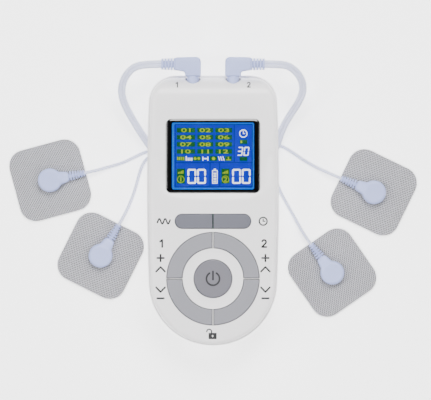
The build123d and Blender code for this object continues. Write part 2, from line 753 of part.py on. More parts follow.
def make_stud():
    """Snap stud: a shank through the fabric and the film, a flange on the fabric and a rounded knob."""
    low = fabric_top + stud_flange_thick
    stud = post(0, 0, gel_thick, fabric_top, stud_shank) + post(0, 0, fabric_top, low, stud_flange)
    stud += post(0, 0, low, low + stud_height, stud_shank)
    knob = post(0, 0, low + 0.7, low + stud_height, stud_knob)
    return stud + fillet(knob.faces().sort_by(Axis.Z)[-1].edges(), 0.6)


def make_pad_layers():
    """The electrode's gel, conductive film and fabric backing, from the skin side up."""
    plan = RectangleRounded(pad_size, pad_size, pad_corner)
    holed = plan - Circle(stud_shank)
    film_z = gel_thick + film_thick
    return {
        "gel": slab(plan, 0, gel_thick),
        "film": slab(holed, gel_thick, film_z),
        "fabric": slab(holed, film_z, fabric_top),
    }


# ------------------------------------------------------------------ the whole part
def make_parts():
    parts = {
        "front_shell": make_front_shell(),
        "back_shell": make_back_shell(),
        "battery_door": make_battery_door(),
        "case_screws": make_case_screws(),
        "display_lens": make_display_lens(),
        "lcd_panel": make_lcd_panel(),
        "lcd_backlight": make_lcd_backlight(),
        "main_board": make_main_board(),
        "board_chips": make_board_chips(),
        "pulse_transformers": make_pulse_transformers(),
        "jack_sockets": make_jack_sockets(),
        "key_switches": make_key_switches(),
        "aaa_cells": make_aaa_cells(),
        "battery_contacts": make_battery_contacts(),
        "belt_clip": make_belt_clip(),
        "clip_pin": make_clip_pin(),
        "clip_spring": make_clip_spring(),
        **make_keys(),
    }
    for channel, side in ((1, -1), (2, 1)):
        parts[f"plug_{channel}_body"] = make_plug(side)
        parts[f"plug_{channel}_pin"] = make_plug_pin(side)
        route = full_trunk_route(channel, side)
        parts[f"trunk_cord_{channel}"] = make_cord(f"trunk_{channel}", route, trunk_radius)
        parts[f"y_split_{channel}"] = make_y_split(channel)

    connector, socket, stud, layers = make_snap_connector(), make_snap_socket(), make_stud(), make_pad_layers()
    for name, channel, side, y, turn, heading, split_side in electrodes:
        place = electrode_place(name, side, y, turn)
        route = full_lead_route(name, channel, place, heading, split_side)
        parts[f"lead_{name}"] = make_cord(f"lead_{name}", route, lead_radius)
        parts[f"snap_connector_{name}"] = Pos(*place) * Rot(0, 0, heading) * connector
        parts[f"snap_socket_{name}"] = Pos(*place) * socket
        parts[f"pad_{name}_stud"] = Pos(*place) * stud
        for layer, solid in layers.items():
            parts[f"pad_{name}_{layer}"] = Pos(*place) * Rot(0, 0, turn) * solid
    return parts


os.makedirs("parts", exist_ok=True)
for node, shape in make_parts().items():
    solids = shape if isinstance(shape, list) else shape.solids()
    export_step(Compound(children=[s for part in solids for s in part.solids()]), f"parts/{node}.step")
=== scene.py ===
"""Looks of a two-channel TENS unit: its case, keys, display, lead sets and gel electrodes.

Laid out as an add-on: settings, one operator for each piece or group of like pieces, and a sidebar panel.
Sizes in the code are millimetres until a mesh is made, where MM turns them to metres.
"""

import math

import bmesh
import bpy
import numpy as np
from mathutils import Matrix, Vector


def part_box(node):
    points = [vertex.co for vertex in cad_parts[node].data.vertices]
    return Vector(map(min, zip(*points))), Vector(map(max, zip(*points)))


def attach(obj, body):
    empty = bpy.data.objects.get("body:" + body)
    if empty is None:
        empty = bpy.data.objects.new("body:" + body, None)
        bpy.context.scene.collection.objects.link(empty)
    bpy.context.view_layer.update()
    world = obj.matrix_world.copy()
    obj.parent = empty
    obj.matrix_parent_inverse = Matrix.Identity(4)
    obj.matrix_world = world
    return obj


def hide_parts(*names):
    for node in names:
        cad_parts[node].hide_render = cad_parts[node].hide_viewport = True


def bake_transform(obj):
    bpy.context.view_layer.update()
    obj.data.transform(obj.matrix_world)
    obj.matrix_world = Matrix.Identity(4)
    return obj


bl_info = {
    "name": "TENS unit",
    "version": (1, 0, 0),
    "blender": (4, 5, 0),
    "location": "3D View > Sidebar > TENS unit",
    "description": "Builds the visible surfaces of a two-channel TENS unit around its CAD frame",
    "category": "Object",
}

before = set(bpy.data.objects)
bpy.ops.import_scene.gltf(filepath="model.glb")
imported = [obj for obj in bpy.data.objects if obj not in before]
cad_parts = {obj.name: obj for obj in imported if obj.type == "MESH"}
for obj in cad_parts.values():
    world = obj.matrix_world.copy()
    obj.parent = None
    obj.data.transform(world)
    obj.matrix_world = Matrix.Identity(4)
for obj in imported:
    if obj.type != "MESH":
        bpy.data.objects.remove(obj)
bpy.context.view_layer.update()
MM = 0.001


def corner(node, which):
    """Lowest (0) or highest (1) corner of a CAD node's box, in millimetres."""
    return np.array(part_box(node)[which]) / MM


def middle(node):
    """Middle of a CAD node's box, in millimetres."""
    return (corner(node, 0) + corner(node, 1)) / 2


# ------------------------------------------------------------------ places worked out from the frame
HALF_WIDTH, HALF_LENGTH = corner("back_shell", 1)[:2]
FACE_Z = corner("front_shell", 1)[2]
LENS_LOW, LENS_HIGH = corner("display_lens", 0), corner("display_lens", 1)
DISPLAY = middle("display_lens")[:2]
LCD_TOP = corner("lcd_panel", 1)[2]
RING = middle("power_button")[:2]
PILL_Y = middle("mode_key")[1]
JACK_X, JACK_Z = middle("plug_2_pin")[[0, 2]]

# Keys: the ring's radii, the groove's radius between ring and power button, and the gap round every key
RING_OUTER, RING_INNER, RING_MID, POWER_RADIUS = 24.7, 16.6, 13.35, 10.1
PILL_SIZE = np.array([40.4, 7.45])
KEY_GAP = 0.4
SPOKE_WIDTH, SPOKE_DROP = 0.6, 1.4

# Case outline, drawn as the CAD draws it
WIDEST_Y = 10.0
SIDE_RADIUS = 1280.0
CORNER_RADIUS = 14.5
RIM = 1.3
WALL = 2.0
SEAM_Z = 20.0
END_ROUND = 10.0
GROOVE_DEPTH, GROOVE_HALF = 0.35, 3.0
JACK_HOLE = 4.3
# Length round the outline, near enough to share out its points
OUTLINE_LENGTH = 420.0
# Ends of the line down the middle that the face's rings close on
SPINE_LOW, SPINE_HIGH = 39.0 - HALF_LENGTH, HALF_LENGTH - 13.0

# Dish: its middle, its half width, its half lengths up and down, and the share of each over which it fades
DISH_Y, DISH_HALF_WIDTH, DISH_POWER = 30.0, 33.5, 4.0
DISH_UP, DISH_DOWN = 31.0, 24.2
DISH_FADE_UP, DISH_FADE_DOWN = 0.32, 0.17

# Ink on the case stands INK_LIFT out of the face and starts INK_SINK below it
INK_LIFT, INK_SINK = 0.03, 0.06

# Plugs: half width and half thickness of the leg, its low end, the fillet inside the elbow, the round outside
# it, and where the arm and its strain relief end
PLUG_LEG, PLUG_HALF_THICK, PLUG_LOW = 4.3, 3.9, HALF_LENGTH - 0.8
PLUG_FILLET, PLUG_CORNER, PLUG_EDGE = 1.6, 2.6, 1.05
PLUG_ARM_DROP, PLUG_ARM_END = 3.75, 20.6
PLUG_NECK_RADIUS, PLUG_NECK_START = 3.2, 66.6
RELIEF_START, RELIEF_END, RELIEF_RINGS, RELIEF_CORE = 21.2, 27.8, 4, 1.95

# Snap connectors: radius of the housing, half widths of the arm at its root and tip, and the ribbed tail
SNAP_RADIUS, SNAP_ROOT, SNAP_TIP, SNAP_ARM_END, SNAP_FILLET = 6.5, 3.3, 2.6, 10.7, 2.2
SNAP_ARM_RISE = 3.25
TAIL_START, TAIL_RIBS, TAIL_CORE, TAIL_HALF_THICK = 10.6, 6, (1.0, 0.95), 1.55

# Electrodes: side and corner radius of the fabric; film and gel are set in from it
PAD_SIDE, PAD_CORNER = 40.0, 9.0

# Display: top of the glass and thickness of a lit field. The layout is measured from the display's middle
GLASS_TOP, LIT = LCD_TOP - 0.3, 0.03
COLUMNS = [(-19.5, -9.6), (-8.5, 0.1), (1.2, 10.3)]
ROWS = [(12.6, 15.2), (8.8, 11.4), (5.0, 7.6), (1.2, 3.8)]
FRAME_LEFT, FRAME_RIGHT, FRAME_LINE = -20.5, 20.9, 0.42
FRAME_LOW, FRAME_MIDDLE, FRAME_HIGH = -16.6, -3.7, 16.8
DIAL = np.array([16.3, 12.1])
CHANNEL_SIGNS = {"1": (-17.3, -12.5), "2": (6.7, -12.5)}

# Channel and side of each lead set, and the turn of each pad and of its connector's arm in degrees
SIDES = {1: -1, 2: 1}
ELECTRODES = {"1a": (1, 15.2, 11.9), "1b": (1, -26.6, 59.4), "2a": (2, -25.9, 157.0), "2b": (2, 34.7, 126.9)}

# Cord routes, point for point as the CAD lays them
TRUNK_ROUTES = {
    1: [(-27.8, 78.9, 26.3), (-35.5, 78.9, 26.3), (-43.0, 77.6, 24.2), (-48.3, 71.6, 21.0),
        (-50.0, 64.0, 17.0), (-47.6, 56.3, 12.8), (-43.2, 48.6, 8.8), (-37.6, 39.4, 5.4),
        (-29.6, 28.6, 4.6), (-22.0, 19.3, 2.2), (-14.8, 16.2, 1.6), (-7.9, 18.0, 1.6),
        (-3.7, 23.6, 1.6), (-3.6, 30.4, 1.6), (-7.4, 35.8, 1.6), (-13.9, 38.0, 1.6),
        (-20.1, 35.8, 1.6)],
    2: [(27.8, 78.9, 26.3), (35.5, 78.9, 26.3), (41.6, 77.9, 24.4), (47.2, 72.8, 21.4),
        (49.3, 65.8, 17.8), (46.6, 58.7, 13.8), (41.8, 51.8, 9.8), (37.6, 44.2, 6.6),
        (35.2, 36.2, 4.8), (31.4, 28.8, 4.6), (25.6, 22.8, 3.6), (18.2, 20.4, 1.9),
        (10.8, 22.0, 1.6), (4.7, 25.8, 1.6), (1.8, 32.3, 1.6), (3.1, 39.2, 1.6),
        (8.3, 43.9, 1.6), (14.8, 44.7, 1.6), (20.0, 41.8, 1.6)],
}
LEAD_ROUTES = {
    "1a": (-1, [(-37.6, 31.9, 0.95), (-43.0, 29.3, 0.95), (-49.6, 26.0, 0.95), (-56.9, 24.0, 1.2)]),
    "1b": (1, [(-35.6, 29.3, 0.95), (-38.9, 24.9, 0.95), (-40.8, 18.9, 0.95), (-42.6, 11.9, 0.95),
               (-45.2, 4.6, 1.2)]),
    "2a": (1, [(37.6, 35.4, 0.95), (43.4, 32.0, 0.95), (49.4, 27.7, 0.95), (56.4, 23.7, 1.2)]),
    "2b": (-1, [(32.5, 30.8, 0.95), (33.3, 25.0, 0.95), (33.9, 18.4, 0.95), (36.2, 11.6, 0.95),
                (40.4, 3.7, 0.95), (45.2, -4.7, 1.2)]),
}
SPLIT_LENGTH = 8.0
LEAD_SPREAD = 1.2
LEAD_OUT = 4.0
LEAD_IN = 6.5
TAIL_END = 19.4
TAIL_Z = 3.7


# ------------------------------------------------------------------ settings
def colour_setting(name, of_what, default):
    """Setting for an sRGB hex colour."""
    return bpy.props.StringProperty(name=name, description="sRGB hex colour " + of_what, default=default)


def length_setting(name, description, default):
    """Setting for a length, its default in millimetres."""
    return bpy.props.FloatProperty(name=name, description=description, default=default * MM, unit="LENGTH")


class TensCaseSettings(bpy.types.PropertyGroup):
    """Sizes and colours of the case and its keys."""

    dish_depth: length_setting("Dish depth", "Depth of the soft dish round the display", 1.2)
    edge_round: length_setting("Edge round", "Radius of the front shell's edge", 2.6)
    shell_colour: colour_setting("Shell colour", "of the two shells", "F0EEEF")
    ring_key_colour: colour_setting("Ring key colour", "of the four ring keys", "808087")
    pill_key_colour: colour_setting("Pill key colour", "of the two pill keys", "5A5B65")
    power_colour: colour_setting("Power button colour", "of the power button", "68676F")


class TensLeadSettings(bpy.types.PropertyGroup):
    """Sizes and colours of the lead sets."""

    core_radius: length_setting("Core radius", "Radius of each half of the twin cord", 1.15)
    core_offset: length_setting("Core offset", "Each half's distance from the middle", 0.95)
    lead_radius: length_setting("Lead radius", "Radius of a single lead", 0.9)
    cord_colour: colour_setting("Cord colour", "of the cords", "CED2EA")
    plug_colour: colour_setting("Plug colour", "of plugs and snap connectors", "A3AEDE")


class TensPadSettings(bpy.types.PropertyGroup):
    """Weave and colours of the electrodes."""

    thread_pitch: length_setting("Thread pitch", "Distance between the weave's dark dots", 0.95)
    thread_colour: colour_setting("Thread colour", "of the raised threads", "ACACB1")
    gap_colour: colour_setting("Gap colour", "between the threads", "3A393E")


class TensDisplaySettings(bpy.types.PropertyGroup):
    """Colours of the display."""

    field_colour: colour_setting("Field colour", "of the lit field", "0034EC")
    border_colour: colour_setting("Border colour", "of the bright border", "007AFF")
    line_colour: colour_setting("Line colour", "of the frame lines", "0A2E9A")
    block_colour: colour_setting("Block colour", "of the green blocks", "14692A")
    legend_colour: colour_setting("Legend colour", "of the numbers on the blocks", "C8EE10")


# ------------------------------------------------------------------ material helpers
def linear(hex_colour):
    """sRGB hex to linear RGBA. A channel c becomes c / 12.92 up to 0.04045, and above that
    ((c + 0.055) / 1.055) ** 2.4."""
    channels = np.array([int(hex_colour[i:i + 2], 16) for i in (0, 2, 4)]) / 255
    low = channels / 12.92
    high = ((channels + 0.055) / 1.055) ** 2.4
    return (*np.where(channels <= 0.04045, low, high), 1.0)


def add_node(tree, kind, settings=None, links=None):
    """Adds a node; settings name its attributes or its sockets, and links maps its sockets to others."""
    node = tree.nodes.new(kind)
    for key, value in (settings or {}).items():
        if key in node.inputs:
            node.inputs[key].default_value = value
        else:
            setattr(node, key, value)
    for key, socket in (links or {}).items():
        tree.links.new(socket, node.inputs[key])
    return node


def new_material(name, **surface):
    """A material with one Principled shader; surface names its sockets."""
    material = bpy.data.materials.new(name)
    material.use_nodes = True
    tree = material.node_tree
    shader = tree.nodes["Principled BSDF"]
    for key, value in surface.items():
        shader.inputs[key.replace("_", " ")].default_value = value
    return material, tree, shader


def noise(tree, size, place, detail=2.0):
    """Socket of a noise between 0 and 1 whose features are about size millimetres across."""
    settings = {"Scale": 1 / (size * MM), "Detail": detail}
    return add_node(tree, "ShaderNodeTexNoise", settings, {"Vector": place}).outputs["Fac"]


def ranged(tree, low, high, value):
    """Socket of a value between 0 and 1 mapped to run from low to high."""
    settings = {"To Min": low, "To Max": high}
    return add_node(tree, "ShaderNodeMapRange", settings, {"Value": value}).outputs["Result"]


def grained(name, colour, roughness, grain_mm, depth_mm, variation=0.03, **surface):
    """A surface with grain of grain_mm, depth_mm of relief and a little drift in colour and gloss."""
    material, tree, shader = new_material(name, Roughness=roughness, **surface)
    place = add_node(tree, "ShaderNodeTexCoord").outputs["Object"]
    grain = noise(tree, grain_mm, place, 3.0)
    bump = add_node(tree, "ShaderNodeBump", {"Strength": 0.5, "Distance": depth_mm * MM}, {"Height": grain})
    drift = noise(tree, 18, place)
    base = np.array(linear(colour))[:3]
    tint = add_node(tree, "ShaderNodeMix", {"data_type": "RGBA"})
    tree.links.new(drift, tint.inputs[0])
    tint.inputs[6].default_value = (*np.clip(base * (1 - variation), 0, 1), 1)
    tint.inputs[7].default_value = (*np.clip(base * (1 + variation), 0, 1), 1)
    tree.links.new(tint.outputs[2], shader.inputs["Base Color"])
    gloss = ranged(tree, roughness * 0.9, min(1, roughness * 1.12), drift)
    tree.links.new(gloss, shader.inputs["Roughness"])
    tree.links.new(bump.outputs["Normal"], shader.inputs["Normal"])
    return material


def moulded_abs(name, colour, roughness=0.34):
    """Injection-moulded ABS with a fine spark-eroded grain: a soft, broad sheen and no sharp reflections."""
    return grained(
        name, colour, roughness, 0.35, 0.006, 0.012, IOR=1.53, Coat_Weight=0.08, Coat_Roughness=0.25
    )


def soft_pvc(name, colour, roughness=0.42):
    """Moulded soft PVC: light goes a little way in, so edges stay pale; the sheen is dull and waxy."""
    return grained(
        name, colour, roughness, 0.8, 0.006, 0.015, IOR=1.53, Subsurface_Weight=0.12,
        Subsurface_Scale=0.8 * MM, Subsurface_Radius=(1.0, 0.9, 1.1),
    )


def drawn_metal(name, colour, roughness):
    """Plated metal turned or stamped: a grey mirror broken by fine lines."""
    return grained(name, colour, roughness, 0.12, 0.003, 0.02, Metallic=1.0)


def lit(name, colour, strength=1.0):
    """A printed or switched field of the display, lit from behind by its light guide."""
    material, tree, shader = new_material(
        name, Roughness=0.3, IOR=1.5, Emission_Color=linear(colour), Emission_Strength=strength
    )
    shader.inputs["Base Color"].default_value = (*(np.array(linear(colour))[:3] * 0.15), 1)
    place = add_node(tree, "ShaderNodeTexCoord").outputs["Object"]
    level = ranged(tree, 0.93, 1.07, noise(tree, 14, place, 1.0))
    glow = add_node(tree, "ShaderNodeVectorMath", {"operation": "SCALE"}, {"Scale": level})
    glow.inputs[0].default_value = linear(colour)[:3]
    tree.links.new(glow.outputs["Vector"], shader.inputs["Emission Color"])
    return material


def woven_polyester(name, thread, gap, pitch):
    """Woven polyester backing: staggered dark gaps between pale threads, read from the piece's own UV map,
    which counts in metres along the pad's sides. The real thread spacing of about 0.5 mm is too fine to show,
    so the pitch is drawn about twice as coarse."""
    material, tree, shader = new_material(
        name, Roughness=0.92, IOR=1.45, Sheen_Weight=0.25, Sheen_Roughness=0.5
    )
    place = add_node(tree, "ShaderNodeUVMap").outputs["UV"]
    laid = add_node(
        tree, "ShaderNodeMapping",
        {"Rotation": (0, 0, math.radians(-32)), "Scale": (1.15 / pitch, 0.66 / pitch, 1 / pitch)},
        {"Vector": place},
    )
    dots = add_node(
        tree, "ShaderNodeTexVoronoi", {"voronoi_dimensions": "2D", "Scale": 1.0, "Randomness": 0.12},
        {"Vector": laid.outputs["Vector"]},
    )
    share = add_node(
        tree, "ShaderNodeMapRange", {"interpolation_type": "SMOOTHSTEP", "From Min": 0.08, "From Max": 0.55},
        {"Value": dots.outputs["Distance"]},
    ).outputs["Result"]
    cloth = add_node(tree, "ShaderNodeMix", {"data_type": "RGBA"})
    tree.links.new(share, cloth.inputs[0])
    cloth.inputs[6].default_value = linear(gap)
    cloth.inputs[7].default_value = linear(thread)
    level = ranged(tree, 0.9, 1.1, noise(tree, 5, place, 4.0))
    final = add_node(
        tree, "ShaderNodeVectorMath", {"operation": "SCALE"}, {"Vector": cloth.outputs[2], "Scale": level}
    )
    bump = add_node(tree, "ShaderNodeBump", {"Strength": 0.8, "Distance": 0.12 * MM}, {"Height": share})
    tree.links.new(final.outputs["Vector"], shader.inputs["Base Color"])
    tree.links.new(bump.outputs["Normal"], shader.inputs["Normal"])
    return material


MATERIALS = {}


def make_materials(case, leads, pads, display):
    """Every finish of the object, by the name of the real material."""
    made = {
        "shell_abs": moulded_abs("moulded_abs_shell", case.shell_colour),
        "ring_key_abs": moulded_abs("moulded_abs_ring_key", case.ring_key_colour, 0.38),
        "pill_key_abs": moulded_abs("moulded_abs_pill_key", case.pill_key_colour, 0.38),
        "power_abs": moulded_abs("moulded_abs_power_button", case.power_colour, 0.36),
        "cord_pvc": soft_pvc("soft_pvc_cord", leads.cord_colour),
        "plug_pvc": soft_pvc("soft_pvc_plug", leads.plug_colour),
        "fabric": woven_polyester("woven_polyester", pads.thread_colour, pads.gap_colour, pads.thread_pitch),
        # Carbon-filled vinyl film: dull black with a faint sheen
        "carbon_film": grained("carbon_filled_film", "1C1C1E", 0.5, 0.3, 0.003),
        # Clear hydrogel: wet look, slightly cloudy
        "hydrogel": grained("hydrogel", "D9DEDC", 0.12, 2.0, 0.01, 0.02, Subsurface_Weight=0.4,
                            Subsurface_Scale=1.0 * MM, IOR=1.36, Coat_Weight=0.5, Coat_Roughness=0.08),
        "nickel": drawn_metal("nickel_plated_brass", "C9C8C6", 0.22),
        "zinc": drawn_metal("zinc_plated_steel", "B6B8BB", 0.34),
        "spring_steel": drawn_metal("spring_steel", "A9A9AA", 0.28),
        # Solder-masked FR4: green lacquer over glass cloth
        "solder_mask": grained("solder_mask_on_fr4", "1E6B33", 0.28, 0.6, 0.006, 0.08),
        "epoxy": grained("epoxy_package", "222224", 0.5, 0.2, 0.004),
        "ferrite": grained("sintered_ferrite", "35343A", 0.55, 0.25, 0.01, 0.06),
        "nylon": grained("moulded_nylon", "2A2A2C", 0.42, 0.3, 0.005),
        # Shrink sleeve over a steel can
        "cell_sleeve": grained("shrink_sleeve", "5F6470", 0.22, 1.5, 0.004, 0.02, Coat_Weight=0.4),
        "acrylic_guide": grained("acrylic_light_guide", "DCE9F8", 0.15, 1.0, 0.002),
        # Black border screen-printed on the back of the acrylic lens: deep black under a hard gloss
        "printed_border": grained("screen_printed_black", "050506", 0.12, 3.0, 0.001, 0.02, Coat_Weight=0.6,
                                  Coat_Roughness=0.03, IOR=1.49),
        # Pad-printed ink: matt black film
        "ink": grained("pad_printed_ink", "141416", 0.5, 0.2, 0.002, 0.05),
        # Display glass outside its lit area
        "lcd_glass": grained("display_glass", "10141C", 0.1, 2.0, 0.001, 0.02),
        "lcd_field": lit("lcd_field", display.field_colour),
        "lcd_border": lit("lcd_border", display.border_colour, 1.2),
        "lcd_line": lit("lcd_line", display.line_colour),
        "lcd_block": lit("lcd_block", display.block_colour),
        "lcd_legend": lit("lcd_legend", display.legend_colour),
        "lcd_white": lit("lcd_white", "EEF4FF", 3.0),
    }
    # Clear cast acrylic: polished, with no tint at this thickness
    window, tree, shader = new_material("cast_acrylic", Roughness=0.02, IOR=1.49, Transmission_Weight=1.0)
    haze = noise(tree, 6, add_node(tree, "ShaderNodeTexCoord").outputs["Object"])
    tree.links.new(ranged(tree, 0.01, 0.03, haze), shader.inputs["Roughness"])
    made["acrylic"] = window
    MATERIALS.update(made)


# ------------------------------------------------------------------ mesh helpers
def piece(name, points, faces, material, sharp=35.0, uv=None):
    """A mesh object from points in millimetres, with doubles merged and faces turned outwards."""
    mesh = bpy.data.meshes.new(name)
    mesh.from_pydata((np.asarray(points, float) * MM).tolist(), [], faces)
    if uv is not None:
        uv_map = mesh.uv_layers.new(name="UVMap")
        corners = np.empty(len(mesh.loops), int)
        mesh.loops.foreach_get("vertex_index", corners)
        uv_map.data.foreach_set("uv", (np.asarray(uv, float)[corners] * MM).ravel())
    work = bmesh.new()
    work.from_mesh(mesh)
    bmesh.ops.remove_doubles(work, verts=work.verts, dist=1e-7)
    bmesh.ops.dissolve_degenerate(work, edges=work.edges, dist=1e-8)
    bmesh.ops.recalc_face_normals(work, faces=work.faces)
    work.to_mesh(mesh)
    work.free()
    sides = np.empty(len(mesh.polygons), int)
    mesh.polygons.foreach_get("loop_total", sides)
    mesh.polygons.foreach_set("use_smooth", sides < 5)
    mesh.set_sharp_from_angle(angle=math.radians(sharp))
    obj = bpy.data.objects.new(name, mesh)
    bpy.context.scene.collection.objects.link(obj)
    mesh.materials.append(MATERIALS[material])
    return obj


def joined(name, parts, material, sharp=35.0):
    """One piece from several (points, faces) pairs."""
    points, faces, count = [], [], 0
    for some_points, some_faces in parts:
        points.append(np.asarray(some_points, float))
        faces += [[i + count for i in face] for face in some_faces]
        count += len(some_points)
    return piece(name, np.vstack(points), faces, material, sharp)


def grid_faces(rows, columns):
    """Quads between rings of points: each row is closed round, and row i joins row i + 1."""
    i, j = np.meshgrid(np.arange(rows - 1), np.arange(columns), indexing="ij")
    nxt = (j + 1) % columns
    row, above = i * columns, (i + 1) * columns
    quads = np.stack([row + j, row + nxt, above + nxt, above + j], axis=-1)
    return quads.reshape(-1, 4).tolist()


def rings(stack, cap_ends=False):
    """Points and faces of a surface through a stack of closed rings, shaped (rows, columns, 3). cap_ends
    closes the first and last ring with one face each; otherwise they have been drawn to a line or point."""
    stack = np.asarray(stack, float)
    rows, columns = stack.shape[:2]
    faces = grid_faces(rows, columns)
    if cap_ends:
        faces.append(list(range(columns)))
        faces.append([(rows - 1) * columns + i for i in range(columns)])
    return stack.reshape(-1, 3), faces


def unit(vectors):
    """Vectors drawn to length 1."""
    return vectors / np.linalg.norm(vectors, axis=-1, keepdims=True)


def raised(plan, height):
    """A plan's points at one height, or each at its own."""
    return np.column_stack([plan, np.broadcast_to(height, len(plan))])


def outward(plan):
    """Unit outward normals of a closed plan that runs anticlockwise, from the chord between neighbours."""
    chord = np.roll(plan, -1, axis=0) - np.roll(plan, 1, axis=0)
    return unit(np.stack([chord[:, 1], -chord[:, 0]], axis=1))


def plate(plan, low, high, low_round, high_round, normals=None):
    """A rounded plate over a plan: round the lower edge by a quarter arc of low_round, up the wall and round
    the upper edge by high_round, with one flat face to close each end."""
    normals = outward(plan) if normals is None else normals
    turn = np.linspace(0, math.pi / 2, 6)
    stack = [raised(plan - normals * low_round * (1 - math.sin(a)), low + low_round * (1 - math.cos(a)))
             for a in turn]
    stack += [raised(plan - normals * high_round * (1 - math.cos(a)), high - high_round * (1 - math.sin(a)))
              for a in turn]
    return rings(stack, cap_ends=True)


def pillow(plan, spine, low, high, low_round, high_round, inner=8):
    """A plate whose flat faces are made of rings too, drawn in from the edge to a spine, so that it can be
    shaped afterwards. Each point of the plan has its own spine point, and the rings lie at equal shares."""
    normals = outward(plan)

    def ring(inset, height, share=1.0):
        """The plan set in and drawn to the spine by its share, at a height."""
        return raised(spine + (plan - normals * inset - spine) * share, height)

    turn = np.linspace(0, math.pi / 2, 6)
    stack = [ring(low_round, low, share) for share in np.linspace(0, 1, inner, endpoint=False)]
    stack += [ring(low_round * (1 - math.sin(a)), low + low_round * (1 - math.cos(a))) for a in turn]
    stack += [ring(high_round * (1 - math.cos(a)), high - high_round * (1 - math.sin(a))) for a in turn]
    stack += [ring(high_round, high, share) for share in np.linspace(1, 0, inner + 1)[1:]]
    return rings(stack)


def round_rectangle(width, length, radius, centre=(0, 0), steps=8):
    """Anticlockwise plan of a rectangle with quarter-circle corners, and its outward normals."""
    angles = (np.linspace(0, math.pi / 2, steps)[None, :] + np.arange(4)[:, None] * math.pi / 2).ravel()
    signs = np.repeat(np.array([(1, 1), (-1, 1), (-1, -1), (1, -1)]), steps, axis=0)
    normals = np.stack([np.cos(angles), np.sin(angles)], axis=1)
    corners = signs * np.array([width / 2 - radius, length / 2 - radius])
    return corners + normals * radius + np.asarray(centre), normals


def spread_along(plan, gap):
    """A closed plan with points added along its long edges, so that none is over gap apart: each edge is cut
    into as many equal shares as its length needs."""
    run = np.roll(plan, -1, axis=0) - plan
    shares = np.maximum(1, np.ceil(np.linalg.norm(run, axis=1) / gap).astype(int))
    edge = np.repeat(np.arange(len(plan)), shares)
    step = np.arange(len(edge)) - (np.cumsum(shares) - shares)[edge]
    return plan[edge] + run[edge] * (step / shares[edge])[:, None]


def softened(plan, radius, steps=7):
    """A closed plan with each corner sharper than 30 degrees replaced by an arc tangent to its two edges. The
    arc starts radius times the tangent of half the turn before the corner, and its centre lies radius to the
    side of that place."""
    arrive, leave = unit(plan - np.roll(plan, 1, axis=0)), unit(np.roll(plan, -1, axis=0) - plan)
    cross = arrive[:, 0] * leave[:, 1] - arrive[:, 1] * leave[:, 0]
    turn = np.arctan2(cross, (arrive * leave).sum(axis=1))
    sharp = np.abs(turn) >= math.radians(30)
    side = np.stack([-arrive[:, 1], arrive[:, 0]], axis=1) * np.copysign(radius, turn)[:, None]
    centre = plan - arrive * (radius * np.tan(np.abs(turn) / 2))[:, None] + side
    angle = turn[:, None] * np.linspace(0, 1, steps)
    cos, sin = np.cos(angle), np.sin(angle)
    arm_x, arm_y = -side[:, :1], -side[:, 1:]
    arcs = centre[:, None] + np.stack([arm_x * cos - arm_y * sin, arm_x * sin + arm_y * cos], axis=2)
    points = np.where(sharp[:, None, None], arcs, plan[:, None])
    return points[sharp[:, None] | (np.arange(steps) == 0)]


def prism(plan, low, high):
    """Points and faces of a plan carried straight up."""
    return rings([raised(plan, z) for z in (low, high)], cap_ends=True)


def circle_plan(radius, steps=16):
    """Points evenly round a circle: radius times the cosine and sine of each angle."""
    angle = np.linspace(0, 2 * math.pi, steps, endpoint=False)
    return radius * np.stack([np.cos(angle), np.sin(angle)], axis=1)


def rectangle(x0, x1, y0, y1):
    """Anticlockwise plan of a rectangle."""
    return np.array([(x0, y0), (x1, y0), (x1, y1), (x0, y1)], float)


def eased(share):
    """Smooth step: share held between 0 and 1, then 3 times its square less 2 times its cube."""
    share = np.clip(share, 0, 1)
    return share * share * (3 - 2 * share)


def turned(points, degrees, centre):
    """Points turned about Z and moved to a centre."""
    angle = math.radians(degrees)
    matrix = np.array([[math.cos(angle), -math.sin(angle)], [math.sin(angle), math.cos(angle)]])
    points = np.array(points, float)
    points[:, :2] = points[:, :2] @ matrix.T + np.asarray(centre)[:2]
    return points


def evaluated(curve):
    """Points and faces of a curve or text as it shows. The curve's object is deleted again."""
    holder = bpy.data.objects.new(curve.name, curve)
    bpy.context.scene.collection.objects.link(holder)
    graph = bpy.context.evaluated_depsgraph_get()
    mesh = bpy.data.meshes.new_from_object(holder.evaluated_get(graph))
    points = np.empty(len(mesh.vertices) * 3)
    mesh.vertices.foreach_get("co", points)
    faces = [list(p.vertices) for p in mesh.polygons]
    bpy.data.objects.remove(holder, do_unlink=True)
    bpy.data.meshes.remove(mesh)
    return points.reshape(-1, 3), faces


def cut(target, cutter):
    """Takes one solid from another and deletes the cutter."""
    modifier = target.modifiers.new("cut", "BOOLEAN")
    modifier.operation, modifier.solver, modifier.object = "DIFFERENCE", "EXACT", cutter
    graph = bpy.context.evaluated_depsgraph_get()
    result = bpy.data.meshes.new_from_object(target.evaluated_get(graph))
    target.modifiers.clear()
    target.data = result
    bpy.data.objects.remove(cutter, do_unlink=True)


